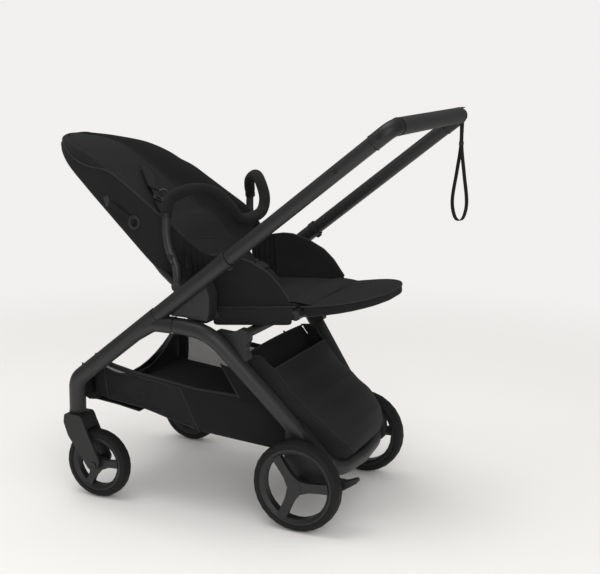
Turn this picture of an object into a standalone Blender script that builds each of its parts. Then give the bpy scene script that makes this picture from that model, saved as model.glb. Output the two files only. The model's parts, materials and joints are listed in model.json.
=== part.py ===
"""Pushchair with a telescoping handle, a folding rear frame and a reclining bucket seat.

Metres, +Z up, travel toward -X, the handle at +X. Left is -Y and right is +Y.
The origin lies on the ground halfway between the axles.
"""
import math

import bmesh
import bpy
from mathutils import Matrix, Vector

NAME = "pushchair"
SIDES = ((-1, "left"), (1, "right"))
GAP = 0.0003                      # between pieces that touch
SLIDE = 0.0004                    # radial clearance of a tube that slides in another

# Widths, each outside the one before: the board, the leg rest's arm and knuckle, the seat's
# two tubes, the mount, the bumper and the main line
BOARD_HALF_WIDTH = 0.155
LEG_REST_HALF_WIDTH = BOARD_HALF_WIDTH - 0.003
REST_ARM_Y = LEG_REST_HALF_WIDTH - 0.0065
KNUCKLE_Y = REST_ARM_Y + 0.0167
BASE_TUBE_Y = KNUCKLE_Y + 0.0113
BACK_TUBE_Y = BASE_TUBE_Y + 0.0175
BACK_HALF_WIDTH = BACK_TUBE_Y + 0.009
MOUNT_INNER_Y = BACK_TUBE_Y + 0.0095
BUMPER_Y = BACK_TUBE_Y + 0.0175
TUBE_Y = MOUNT_INNER_Y + 0.0415           # from the middle plane to the main line
FOOT_Y = TUBE_Y - 0.017
BASKET_HALF_WIDTH = TUBE_Y - 0.0435
REAR_CORNER_Y = TUBE_Y - 0.103
BASKET_REAR_HALF_WIDTH = REAR_CORNER_Y + 0.004
REAR_WHEEL_Y = REAR_CORNER_Y + 0.0665

# Main line: the handle tubes, lower tubes and front legs share it on each side
LEG_BEND_X, LEG_BEND_Z = -0.3035, 0.2941  # its low end, at the front leg's bend
LINE_ANGLE = math.radians(38.4)
GRIP_ALONG = 1.0036                       # from there to the grip's axis
COLLAR_ALONG = 0.5254                     # from there to the collar's mouth
HANDLE_X = LEG_BEND_X + GRIP_ALONG * math.cos(LINE_ANGLE)
HANDLE_Z = LEG_BEND_Z + GRIP_ALONG * math.sin(LINE_ANGLE)
COLLAR_FROM_GRIP = GRIP_ALONG - COLLAR_ALONG
HANDLE_TUBE_R = 0.0165
HANDLE_TUBE_WALL = 0.0014
LOWER_TUBE_R = 0.0184
COLLAR_R = 0.0202
ELBOW_BACK = 0.052                        # from the grip's axis down the line
ELBOW_ACROSS = 0.028                      # from the line across to the grip
ELBOW_RADIUS = 0.0225                     # of its bend, over its own half thickness
COLLAR_LENGTH = 0.016
LOWER_TUBE_LENGTH = 0.262
TUBE_INSERTION = 0.225                    # of the handle tube in the lower tube at rest
HANDLE_UP, HANDLE_DOWN = 0.19, 0.25       # travel of the handle both ways

# Wrist strap
STRAP_HALF = 0.0055                       # half its width
STRAP_THICKNESS = 0.0016
STRAP_PITCH = 0.0011                      # from its middle to each layer at the neck
STRAP_TOP = HANDLE_Z - 0.010

# Front legs and the arch that meets the rear frame
LEG_R = 0.020
LEG_BEND_RADIUS = 0.05
LEG_FOOT = (LEG_BEND_X - 0.014, FOOT_Y, LEG_BEND_Z - 0.0881)
ARCH_CREST_X = -0.088
ARCH_RISE = 0.1614                        # of the arch over the leg's bend
ARCH_Z = LEG_BEND_Z + ARCH_RISE
ARCH_RADIUS = 0.05

# Fold hinge between the arch and the rear frame
SPLIT_X = ARCH_CREST_X + 0.058
HINGE_EYE_R = 0.0065
HINGE_PIN_R = 0.0030
HINGE_PIN_LENGTH = 0.027
TONGUE_WIDTH = 0.014

# Rear frame: one bent tube, left leg, bottom bar and right leg
REAR_R = 0.0190
REAR_SHOULDER_X, REAR_SHOULDER_Z = SPLIT_X + 0.092, ARCH_Z - 0.0095
REAR_CORNER = (0.322, REAR_CORNER_Y, 0.125)
REAR_SHOULDER_RADIUS = 0.09
REAR_CORNER_RADIUS = 0.07
REAR_BAR_X, REAR_BAR_Z = REAR_CORNER[0] + 0.012, REAR_CORNER[2] - 0.003
CROSS_BAR_X, CROSS_BAR_Z = REAR_SHOULDER_X + 0.071, REAR_SHOULDER_Z
CROSS_BAR_R = 0.011

# Wheels
REAR_WHEEL_X, REAR_WHEEL_R = 0.260, 0.1062
FRONT_WHEEL_X, FRONT_WHEEL_R = -0.260, 0.0845
REAR_TYRE_WIDTH, FRONT_TYRE_WIDTH = 0.0390, 0.0350
TYRE_THICKNESS = 0.0165
RIM_THICKNESS = 0.012
SPOKE_THICKNESS = 0.013
HUB_R = 0.019
AXLE_R = 0.0055
WHEEL_STEPS = 28

# Brake pedal, beside the left rear wheel
BRAKE_X, BRAKE_Z = 0.3475, 0.112          # its hinge
BRAKE_PIN_R = 0.0040

# Casters
FORK_ARM = 0.0075
FORK_SIDE_CLEARANCE = 0.0030
STEM_R = 0.008
STEM_LENGTH = 0.030

# Seat: the recline pivot, the base and the back
PIVOT_X, PIVOT_Z = SPLIT_X + 0.040, ARCH_Z + 0.0495
PIVOT_PIN_R = 0.0050
SEAT_TUBE_R = 0.0075
BASE_SLOPE = math.radians(6.0)
BASE_REAR_X, BASE_FRONT_X = PIVOT_X + 0.024, PIVOT_X + 0.212
BASE_BOTTOM_Z = PIVOT_Z - 0.0345          # at the rear edge of the board
BOARD_THICKNESS = 0.007
SEAT_PAD_THICKNESS, SEAT_PAD_CROWN = 0.024, 0.006
WING_THICKNESS, WING_START = 0.006, 0.002
BACK_ANGLE = math.radians(38.2)           # of the back at rest, above the horizontal
BACK_START, BACK_LENGTH = 0.030, 0.588
BACK_WALL_START, BACK_WALL_FULL = 0.118, 0.150
GUSSET_THICKNESS = 0.003
BACK_TAPER = 0.165
BACK_SHELL_THICKNESS = 0.010
BACK_WALL_HEIGHT = 0.068
BACK_FRAME_DROP = BACK_SHELL_THICKNESS + 0.0008
STRAP_PAD_THICKNESS = 0.006
BACK_PAD_THICKNESS, BACK_PAD_CROWN = 0.014, 0.004

# Leg rest
REST_PIN_R = 0.0030
LEG_HINGE_X, LEG_HINGE_Z = BASE_FRONT_X + 0.0165, BASE_BOTTOM_Z + 0.0195
LEG_REST_ANGLE = math.radians(11.0)
LEG_REST_LENGTH = 0.178
LEG_REST_THICKNESS = 0.022
LEG_REST_TUBE_R = 0.006

# Bumper bar, on the back's frame
BUMPER_REACH = 0.060                      # from the recline pivot to the bar's hub
SLEEVE_R = 0.0095
BUMPER_R = 0.0130
BUTTON_TRAVEL = 0.0025

# Basket
WALL = 0.0030                             # cloth with its lining
APRON_THICKNESS = 0.0030
POUCH_DEPTH = 0.044
POUCH_FRONT = 0.014                       # of its front wall from the rear legs' plane
POUCH_SIDE = 0.026


def clear_scene():
    for item in list(bpy.data.objects):
        bpy.data.objects.remove(item, do_unlink=True)


def new_collection(name, hidden=False):
    group = bpy.data.collections.new(name)
    bpy.context.scene.collection.children.link(group)
    group.hide_render = hidden
    return group


def material(name, colour, roughness, metallic=0.0):
    mat = bpy.data.materials.new(name)
    mat.use_nodes = True
    shader = mat.node_tree.nodes["Principled BSDF"]
    shader.inputs["Base Color"].default_value = (*colour, 1.0)
    shader.inputs["Roughness"].default_value = roughness
    shader.inputs["Metallic"].default_value = metallic
    return mat


clear_scene()
PARTS = new_collection(NAME)
CUTTERS = new_collection(NAME + "_cutters", hidden=True)
FRAME_BLACK = (0.030, 0.030, 0.031)
PLASTIC_BLACK = (0.018, 0.018, 0.019)
RUBBER_BLACK = (0.016, 0.016, 0.016)
CLOTH_BLACK = (0.012, 0.012, 0.013)
METAL_GREY = (0.35, 0.35, 0.36)


def finish(obj, colour, roughness, metallic=0.0):
    """Gives a part its own material."""
    obj.data.materials.clear()
    obj.data.materials.append(material(obj.name + "_finish", colour, roughness, metallic))
    return obj


def painted(obj):
    return finish(obj, FRAME_BLACK, 0.42, 0.35)


def moulded(obj):
    return finish(obj, PLASTIC_BLACK, 0.55)


def rubber(obj):
    return finish(obj, RUBBER_BLACK, 0.75)


def cloth(obj):
    return finish(obj, CLOTH_BLACK, 0.95)


def steel(obj):
    return finish(obj, METAL_GREY, 0.35, 1.0)


def link(name, data, collection=PARTS):
    obj = bpy.data.objects.new(name, data)
    collection.objects.link(obj)
    if collection is CUTTERS:
        obj.display_type = "WIRE"
        obj.hide_render = True
    return obj


def mesh_object(name, bm, collection=PARTS, smooth=False):
    mesh = bpy.data.meshes.new(name)
    bm.to_mesh(mesh)
    bm.free()
    if smooth:
        mesh.shade_smooth()
    return link(name, mesh, collection)


def rounded_path(points, radii, steps=5):
    """Polyline through the points with an arc of the given radius at each inner point."""
    points = [Vector(p) for p in points]
    path = [points[0]]
    for before, corner, after, radius in zip(points, points[1:], points[2:], radii):
        back = (before - corner).normalized()
        ahead = (after - corner).normalized()
        half = back.angle(ahead) / 2
        if radius <= 0 or half > math.radians(89.5):
            path.append(corner)
            continue
        reach = radius / math.tan(half)
        centre = corner + (back + ahead).normalized() * (radius / math.sin(half))
        start = corner + back * reach - centre
        end = corner + ahead * reach - centre
        sweep = start.angle(end)
        for i in range(steps + 1):
            t = i / steps
            blend = start * math.sin((1 - t) * sweep) + end * math.sin(t * sweep)
            path.append(centre + blend / math.sin(sweep))
    path.append(points[-1])
    return path


def smooth_path(knots, count):
    """Evenly stepped Catmull-Rom curve through the knots."""
    knots = [Vector(k) for k in knots]
    knots = [knots[0] * 2 - knots[1]] + knots + [knots[-1] * 2 - knots[-2]]
    spans = len(knots) - 3
    path = []
    for i in range(count + 1):
        place = min(i / count * spans, spans - 1e-9)
        span = int(place)
        t = place - span
        a, b, c, d = knots[span:span + 4]
        path.append(0.5 * ((2 * b) + (c - a) * t + (2 * a - 5 * b + 4 * c - d) * t ** 2
                           + (3 * b - a - 3 * c + d) * t ** 3))
    return path


def tube(name, path, radius, sides=14, collection=PARTS, cyclic=False, radii=None):
    """Round bar along a path: a curve with a bevel and filled caps."""
    curve = bpy.data.curves.new(name, "CURVE")
    curve.dimensions = "3D"
    curve.bevel_depth = radius
    curve.bevel_resolution = (sides - 4) // 2
    curve.use_fill_caps = True
    curve.render_resolution_u = 0
    spline = curve.splines.new("POLY")
    spline.points.add(len(path) - 1)
    for i, (point, place) in enumerate(zip(spline.points, path)):
        point.co = (*place, 1.0)
        point.radius = radii[i] if radii else 1.0
    spline.use_cyclic_u = cyclic
    return link(name, curve, collection)


def as_mesh(obj):
    """Turns a curve object into a mesh object of the same name and collection."""
    collection = obj.users_collection[0]
    graph = bpy.context.evaluated_depsgraph_get()
    evaluated = obj.evaluated_get(graph)
    mesh = bpy.data.meshes.new_from_object(evaluated)
    mesh.transform(obj.matrix_world)
    name = obj.name
    bpy.data.objects.remove(obj, do_unlink=True)
    bm = bmesh.new()
    bm.from_mesh(mesh)
    bmesh.ops.remove_doubles(bm, verts=bm.verts, dist=1e-6)
    bmesh.ops.recalc_face_normals(bm, faces=bm.faces)
    return mesh_object(name, bm, collection)


def solid_tube(name, path, radius, sides=14, collection=PARTS):
    return as_mesh(tube(name, path, radius, sides, collection))


def cylinder(name, start, end, radius, sides=20, collection=PARTS, end_radius=None):
    start, end = Vector(start), Vector(end)
    bm = bmesh.new()
    bmesh.ops.create_cone(bm, cap_ends=True, segments=sides, radius1=radius,
                          radius2=radius if end_radius is None else end_radius,
                          depth=(end - start).length)
    turn = (end - start).to_track_quat("Z", "Y").to_matrix().to_4x4()
    bmesh.ops.transform(bm, matrix=Matrix.Translation((start + end) / 2) @ turn, verts=bm.verts)
    return mesh_object(name, bm, collection)


def box(name, low, high, collection=PARTS, turn=None):
    low, high = Vector(low), Vector(high)
    bm = bmesh.new()
    bmesh.ops.create_cube(bm, size=1.0)
    size = high - low
    bmesh.ops.scale(bm, vec=size, verts=bm.verts)
    place = Matrix.Translation((low + high) / 2)
    if turn:
        place = place @ Matrix.Rotation(turn, 4, "Y")
    bmesh.ops.transform(bm, matrix=place, verts=bm.verts)
    return mesh_object(name, bm, collection)


def plate(name, outline, y_low, y_high, collection=PARTS):
    """Flat outline in the XZ plane, extruded across the width."""
    curve = bpy.data.curves.new(name, "CURVE")
    curve.dimensions = "2D"
    curve.fill_mode = "BOTH"
    curve.extrude = (y_high - y_low) / 2
    curve.render_resolution_u = 0
    spline = curve.splines.new("POLY")
    spline.points.add(len(outline) - 1)
    for point, (x, z) in zip(spline.points, outline):
        point.co = (x, z, 0.0, 1.0)
    spline.use_cyclic_u = True
    obj = link(name, curve, collection)
    obj.rotation_euler = (math.pi / 2, 0, 0)
    obj.location = (0, (y_low + y_high) / 2, 0)
    bpy.context.view_layer.update()
    return as_mesh(obj)


def rounded_outline(corners, radii, steps=4):
    """Closed flat outline with rounded corners."""
    points = [Vector((x, 0, z)) for x, z in corners]
    count = len(points)
    outline = []
    for i, radius in enumerate(radii):
        triple = [points[i - 1], points[i], points[(i + 1) % count]]
        if radius <= 0:
            outline.append((points[i].x, points[i].z))
            continue
        arc = rounded_path(triple, [radius], steps)[1:-1]
        outline += [(p.x, p.z) for p in arc]
    return outline


def turned(name, profile, centre, steps, collection=PARTS):
    """Ring turned about an axis along Y; the profile is closed, (radius, offset along Y)."""
    bm = bmesh.new()
    verts = [bm.verts.new((radius, 0, along)) for radius, along in profile]
    for first, second in zip(verts, verts[1:] + verts[:1]):
        bm.edges.new((first, second))
    mesh = bpy.data.meshes.new(name)
    bm.to_mesh(mesh)
    bm.free()
    obj = link(name, mesh, collection)
    screw = obj.modifiers.new("Turn", "SCREW")
    screw.steps = steps
    screw.render_steps = steps
    screw.use_merge_vertices = True
    screw.merge_threshold = 0.00001
    screw.use_smooth_shade = True
    obj.rotation_euler = (math.pi / 2, 0, 0)
    obj.location = centre
    return obj


def sheet(name, columns, rows, place, thickness, offset=0.0, levels=0, collection=PARTS):
    """Open surface of columns by rows quads; place(s, t) gives each point, s and t in 0..1."""
    bm = bmesh.new()
    bmesh.ops.create_grid(bm, x_segments=columns, y_segments=rows, size=0.5)
    for vert in bm.verts:
        vert.co = place(vert.co.x + 0.5, vert.co.y + 0.5)
    mesh = bpy.data.meshes.new(name)
    bm.to_mesh(mesh)
    bm.free()
    obj = link(name, mesh, collection)
    solid = obj.modifiers.new("Thickness", "SOLIDIFY")
    solid.thickness = thickness
    solid.offset = offset
    solid.use_even_offset = True
    if levels:
        soft = obj.modifiers.new("Soft", "SUBSURF")
        soft.levels = levels
        soft.render_levels = levels
    mesh.shade_smooth()
    return obj


def cushion(name, columns, rows, place, height, levels=1):
    """Padded panel: place(s, t, up) gives each point, with the underside at up = 0."""
    bm = bmesh.new()
    bmesh.ops.create_grid(bm, x_segments=columns, y_segments=rows, size=0.5)
    raised = bmesh.ops.extrude_face_region(bm, geom=bm.faces[:], use_keep_orig=True)
    top = {item for item in raised["geom"] if isinstance(item, bmesh.types.BMVert)}
    for vert in bm.verts:
        s, t = vert.co.x + 0.5, vert.co.y + 0.5
        vert.co = place(s, t, height(s, t) if vert in top else 0.0)
    bmesh.ops.recalc_face_normals(bm, faces=bm.faces)
    if bm.calc_volume(signed=True) < 0:
        bmesh.ops.reverse_faces(bm, faces=bm.faces)
    obj = mesh_object(name, bm, smooth=True)
    soft = obj.modifiers.new("Soft", "SUBSURF")
    soft.levels = levels
    soft.render_levels = levels
    return obj


def crown(thickness, rise):
    """Height of a cushion that is highest in its middle."""
    def height(s, t):
        return thickness + rise * math.sin(math.pi * s) * math.sin(math.pi * t)

    return height


def boolean(obj, other, operation):
    step = obj.modifiers.new(operation.title(), "BOOLEAN")
    step.operation = operation
    step.solver = "EXACT"
    step.object = other
    return obj


def cut(obj, *tools):
    for tool in tools:
        boolean(obj, tool, "DIFFERENCE")
    return obj


def join(obj, *others):
    """Fuses others, which are moved to the cutters' collection, into one solid."""
    for other in others:
        for group in list(other.users_collection):
            group.objects.unlink(other)
        CUTTERS.objects.link(other)
        other.display_type = "WIRE"
        other.hide_render = True
        boolean(obj, other, "UNION")
    return obj


def soften(obj, width, segments=2, angle=30):
    bevel = obj.modifiers.new("Edges", "BEVEL")
    bevel.width = width
    bevel.segments = segments
    bevel.limit_method = "ANGLE"
    bevel.angle_limit = math.radians(angle)
    return obj


def set_origin(obj, origin):
    """Moves an object's origin to a point on its joint's axis."""
    origin = Vector(origin)
    obj.data.transform(Matrix.Translation(-origin))
    obj.location = origin
    return obj


def empty(name, place, parent=None):
    obj = bpy.data.objects.new(name, None)
    PARTS.objects.link(obj)
    obj.location = Vector(place) - (Vector(parent["place"]) if parent else Vector())
    obj["place"] = tuple(place)
    obj.parent = parent
    obj.empty_display_size = 0.03
    return obj


def carry(parent, *objects):
    """Parents objects to a joint's empty and leaves them where they are."""
    place = Vector(parent["place"])
    for obj in objects:
        obj.parent = parent
        obj.location = obj.location - place


# Points and directions that several pieces share
LINE = Vector((math.cos(LINE_ANGLE), 0, math.sin(LINE_ANGLE)))


def line_point(along, side):
    """Point on a side's main line, measured down from the grip's axis."""
    return Vector((HANDLE_X, side * TUBE_Y, HANDLE_Z)) - LINE * along


def line_at_x(x, side):
    return line_point((HANDLE_X - x) / LINE.x, side)


HINGE = Vector((SPLIT_X, TUBE_Y, ARCH_Z - LEG_R + HINGE_EYE_R + 0.0004))
BACK_UP = Vector((-math.cos(BACK_ANGLE), 0, math.sin(BACK_ANGLE)))
BACK_OUT = Vector((math.sin(BACK_ANGLE), 0, math.cos(BACK_ANGLE)))
PIVOT = Vector((PIVOT_X, 0, PIVOT_Z))


def back_point(up, across, out):
    """Point of the back, from the recline pivot: up the back, across it and out of it."""
    return PIVOT + BACK_UP * up + Vector((0, across, 0)) + BACK_OUT * out


BASE_ALONG = Vector((math.cos(BASE_SLOPE), 0, math.sin(BASE_SLOPE)))
BASE_UP = Vector((-math.sin(BASE_SLOPE), 0, math.cos(BASE_SLOPE)))
BASE_ORIGIN = Vector((BASE_REAR_X, 0, BASE_BOTTOM_Z))
BASE_LENGTH = (BASE_FRONT_X - BASE_REAR_X) / BASE_ALONG.x


def base_point(along, across, up):
    """Point of the seat's base, from its rear lower edge."""
    return BASE_ORIGIN + BASE_ALONG * along + Vector((0, across, 0)) + BASE_UP * up


REST_ALONG = Vector((math.cos(LEG_REST_ANGLE), 0, math.sin(LEG_REST_ANGLE)))
REST_UP = Vector((-math.sin(LEG_REST_ANGLE), 0, math.cos(LEG_REST_ANGLE)))
REST_HINGE = Vector((LEG_HINGE_X, 0, LEG_HINGE_Z))


def rest_point(along, across, up):
    return REST_HINGE + REST_ALONG * along + Vector((0, across, 0)) + REST_UP * up


REAR_TOP = Vector((REAR_SHOULDER_X, TUBE_Y, REAR_SHOULDER_Z))
REAR_LOW = Vector(REAR_CORNER)
REAR_DOWN = Vector((REAR_LOW.x - REAR_TOP.x, 0, REAR_LOW.z - REAR_TOP.z)).normalized()
REAR_OUT = Vector((-REAR_DOWN.z, 0, REAR_DOWN.x))


def rear_leg_at(along):
    """Point on the right rear leg's axis, a distance down from its shoulder."""
    step = (REAR_LOW - REAR_TOP).normalized()
    return REAR_TOP + step * along


def mirror_y(points, side):
    return [Vector((p[0], side * p[1], p[2])) for p in points]


def front_legs():
    bend = line_at_x(LEG_BEND_X, 1)
    lower_end = COLLAR_FROM_GRIP + LOWER_TUBE_LENGTH
    bore_end = COLLAR_FROM_GRIP + TUBE_INSERTION + HANDLE_DOWN + 0.004
    legs = []
    for side, word in SIDES:
        top = line_at_x(ARCH_CREST_X + 0.012, side)
        path = rounded_path([top, mirror_y([bend], side)[0], mirror_y([LEG_FOOT], side)[0]],
                            [LEG_BEND_RADIUS], 6)
        leg = solid_tube("front_leg_" + word, path, LEG_R, 16)
        start = line_at_x(ARCH_CREST_X - 0.050, side)
        arch_path = rounded_path([start, (ARCH_CREST_X, side * TUBE_Y, ARCH_Z),
                                  (SPLIT_X - GAP / 2, side * TUBE_Y, ARCH_Z)], [ARCH_RADIUS], 4)
        arch = solid_tube("arch_" + word, arch_path, LEG_R - 0.0002, 16, CUTTERS)
        join(leg, arch)
        y = side * TUBE_Y
        seat = cylinder("lower_tube_seat_" + word, line_point(lower_end + GAP, side),
                        line_point(COLLAR_FROM_GRIP, side), LOWER_TUBE_R + GAP, 20, CUTTERS)
        bore = cylinder("leg_bore_" + word, line_point(bore_end, side),
                        line_point(COLLAR_FROM_GRIP, side), HANDLE_TUBE_R + SLIDE, 20, CUTTERS)
        slot = cylinder("hinge_slot_" + word,
                        (HINGE.x, y - TONGUE_WIDTH / 2 - 0.0004, HINGE.z),
                        (HINGE.x, y + TONGUE_WIDTH / 2 + 0.0004, HINGE.z),
                        HINGE_EYE_R + 0.0005, 20, CUTTERS)
        pin_bore = cylinder("hinge_bore_" + word, (HINGE.x, y - LEG_R, HINGE.z),
                            (HINGE.x, y + LEG_R, HINGE.z), HINGE_PIN_R + GAP, 12, CUTTERS)
        stem = cylinder("stem_bore_" + word,
                        (LEG_FOOT[0], side * LEG_FOOT[1], LEG_FOOT[2] - 0.02),
                        (LEG_FOOT[0], side * LEG_FOOT[1], LEG_FOOT[2] + STEM_LENGTH + 0.0005),
                        STEM_R + GAP, 14, CUTTERS)
        floor = box("foot_flat_" + word, (LEG_FOOT[0] - 0.05, y - 0.06, LEG_FOOT[2] - 0.04),
                    (LEG_FOOT[0] + 0.05, y + 0.06, LEG_FOOT[2]), CUTTERS)
        cut(leg, seat, bore, slot, pin_bore, stem, floor)
        legs.append(painted(leg))
    return legs


def lower_tubes():
    """Outer tubes of the telescope, with the collar that guides the handle tube."""
    pieces = []
    for side, word in SIDES:
        mouth = COLLAR_FROM_GRIP
        low = line_point(mouth + LOWER_TUBE_LENGTH, side)
        high = line_point(mouth + COLLAR_LENGTH + GAP, side)
        lower = cylinder("lower_tube_" + word, low, high, LOWER_TUBE_R, 20)
        inner = cylinder("lower_bore_" + word, low - LINE * 0.01, high + LINE * 0.01,
                         HANDLE_TUBE_R + SLIDE, 20, CUTTERS)
        cut(lower, inner)
        collar = cylinder("collar_" + word, line_point(mouth + COLLAR_LENGTH, side),
                          line_point(mouth, side), COLLAR_R, 20)
        guide = cylinder("collar_bore_" + word, line_point(mouth + COLLAR_LENGTH + 0.01, side),
                         line_point(mouth - 0.01, side), HANDLE_TUBE_R + SLIDE / 2, 20, CUTTERS)
        soften(cut(collar, guide), 0.0012, 1)
        pieces += [painted(lower), moulded(collar)]
    return pieces


def handle(carrier):
    """Handle tubes, elbows, the grip between them and the wrist strap."""
    pieces = []
    elbow_back = ELBOW_BACK
    grip_end = TUBE_Y - ELBOW_ACROSS
    for side, word in SIDES:
        top = line_point(elbow_back, side)
        low = line_point(COLLAR_FROM_GRIP + TUBE_INSERTION, side)
        stick = cylinder("handle_tube_" + word, low, top - LINE * GAP, HANDLE_TUBE_R, 20)
        hollow = cylinder("handle_bore_" + word, low - LINE * 0.01, top - LINE * 0.012,
                          HANDLE_TUBE_R - HANDLE_TUBE_WALL, 16, CUTTERS)
        cut(stick, hollow)
        path = rounded_path([top, line_point(0, side), (HANDLE_X, side * grip_end, HANDLE_Z)],
                            [ELBOW_RADIUS], 6)
        elbow = moulded(solid_tube("handle_elbow_" + word, path, HANDLE_TUBE_R + 0.0012, 14))
        if side > 0:
            slot = box("strap_slot", (HANDLE_X - STRAP_PITCH - STRAP_THICKNESS / 2 - GAP,
                                      TUBE_Y - STRAP_HALF - GAP, HANDLE_Z - 0.05),
                       (HANDLE_X + STRAP_PITCH + STRAP_THICKNESS / 2 + GAP,
                        TUBE_Y + STRAP_HALF + GAP, STRAP_TOP + GAP), CUTTERS)
            cut(elbow, slot)
        pieces += [painted(stick), elbow]
    grip = cylinder("handle_grip", (HANDLE_X, -grip_end + GAP, HANDLE_Z),
                    (HANDLE_X, grip_end - GAP, HANDLE_Z), HANDLE_TUBE_R + 0.0024, 20)
    pieces.append(rubber(soften(grip, 0.002, 2)))
    carry(carrier, *pieces)
    return pieces


def wrist_strap(carrier):
    """Flat webbing loop that hangs from the right elbow."""
    half = STRAP_HALF
    thickness = STRAP_THICKNESS
    neck_top = Vector((HANDLE_X, TUBE_Y, STRAP_TOP))
    neck, bottom, widest, loop_half = 0.100, 0.253, 0.208, 0.021
    outline = [(STRAP_PITCH, 0.0), (STRAP_PITCH, neck - 0.02), (loop_half * 0.55, (neck + widest) / 2),
               (loop_half, widest), (loop_half * 0.62, bottom - 0.010), (0.0, bottom)]
    knots = [Vector((neck_top.x + x, neck_top.y, neck_top.z - z)) for x, z in outline]
    mirrored = [Vector((2 * neck_top.x - k.x, k.y, k.z)) for k in knots[-2::-1]]
    path = smooth_path(knots + mirrored, 30)

    def place(s, t):
        spot = path[round(t * (len(path) - 1))]
        return spot + Vector((0, (s - 0.5) * 2 * half, 0))

    strap = sheet("wrist_strap", 1, len(path) - 1, place, thickness)
    cloth(strap)
    carry(carrier, strap)
    return strap


def rear_frame(carrier):
    """One bent tube from the left hinge, round the bottom bar, to the right hinge."""
    corner = Vector(REAR_CORNER)
    right = [(SPLIT_X + GAP / 2, TUBE_Y, ARCH_Z - 0.0005), (SPLIT_X + 0.022, TUBE_Y, ARCH_Z - 0.0005),
             REAR_TOP, corner, (REAR_BAR_X, 0, REAR_BAR_Z)]
    left = mirror_y(right[-2::-1], -1)
    radii = [0, REAR_SHOULDER_RADIUS, REAR_CORNER_RADIUS, 0, REAR_CORNER_RADIUS,
             REAR_SHOULDER_RADIUS, 0]
    frame = solid_tube("rear_frame", rounded_path(right + left, radii, 5), REAR_R, 14)
    for side, word in SIDES:
        y = side * TUBE_Y
        notch = box("hinge_notch_" + word, (HINGE.x - 0.01, y - 0.03, HINGE.z - 0.03),
                    (HINGE.x + HINGE_EYE_R, y + 0.03, HINGE.z), CUTTERS)
        eye = cylinder("hinge_eye_" + word, (HINGE.x, y - TONGUE_WIDTH / 2, HINGE.z),
                       (HINGE.x, y + TONGUE_WIDTH / 2, HINGE.z), HINGE_EYE_R, 20, CUTTERS)
        bore = cylinder("rear_hinge_bore_" + word, (HINGE.x, y - REAR_R, HINGE.z),
                        (HINGE.x, y + REAR_R, HINGE.z), HINGE_PIN_R + GAP, 12, CUTTERS)
        cut(frame, notch)
        join(frame, eye)
        cut(frame, bore)
    painted(frame)
    bar_y = rear_leg_at(0.0).y - REAR_R
    cross = cylinder("cross_bar", (CROSS_BAR_X, -bar_y, CROSS_BAR_Z),
                     (CROSS_BAR_X, bar_y, CROSS_BAR_Z), CROSS_BAR_R, 12)
    for side, word in SIDES:
        saddle_y = side * (TUBE_Y - 0.030)
        saddle = plate("saddle_" + word, rounded_outline(
            [(CROSS_BAR_X + x, CROSS_BAR_Z + z) for x, z in
             ((-0.073, 0.004), (-0.029, 0.001), (-0.008, 0.0135), (0.012, 0.010),
              (0.014, -0.012), (0.004, -0.032), (0.017, -0.061), (-0.023, -0.061))],
            [0.003, 0.02, 0.008, 0.008, 0.008, 0.02, 0.008, 0.02], 2),
            saddle_y - 0.011, saddle_y + 0.011, CUTTERS)
        join(cross, saddle)
    hull = solid_tube("rear_frame_clearance",
                      rounded_path(right + left, radii, 5), REAR_R + GAP, 14, CUTTERS)
    cut(cross, hull)
    painted(cross)
    pins = []
    for side, word in SIDES:
        y = side * TUBE_Y
        pin = cylinder("fold_pin_" + word, (HINGE.x, y - HINGE_PIN_LENGTH / 2, HINGE.z),
                       (HINGE.x, y + HINGE_PIN_LENGTH / 2, HINGE.z), HINGE_PIN_R, 12)
        pins.append(steel(pin))
    carry(carrier, frame, cross)
    return [frame, cross], pins


def spoke_outline(hub_radius, tip_radius, half_width, tip_half_width):
    """Three arms with hollow curves between them, as one closed outline."""
    outline = []
    for arm in range(3):
        angle = math.radians(126 + 120 * arm)
        along = Vector((math.cos(angle), 0, math.sin(angle)))
        across = Vector((-along.z, 0, along.x))
        after = math.radians(126 + 120 * arm + 60)
        valley = Vector((math.cos(after), 0, math.sin(after)))
        outline.append(along * tip_radius - across * tip_half_width)
        outline.append(along * tip_radius + across * tip_half_width)
        outline.append(along * (tip_radius * 0.72) + across * half_width)
        outline.append(along * (hub_radius * 1.7) + across * half_width * 1.05)
        outline.append(valley * hub_radius)
        back = math.radians(126 + 120 * (arm + 1))
        next_along = Vector((math.cos(back), 0, math.sin(back)))
        next_across = Vector((-next_along.z, 0, next_along.x))
        outline.append(next_along * (hub_radius * 1.7) - next_across * half_width * 1.05)
        outline.append(next_along * (tip_radius * 0.72) - next_across * half_width)
    return [(p.x, p.z) for p in outline]


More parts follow.
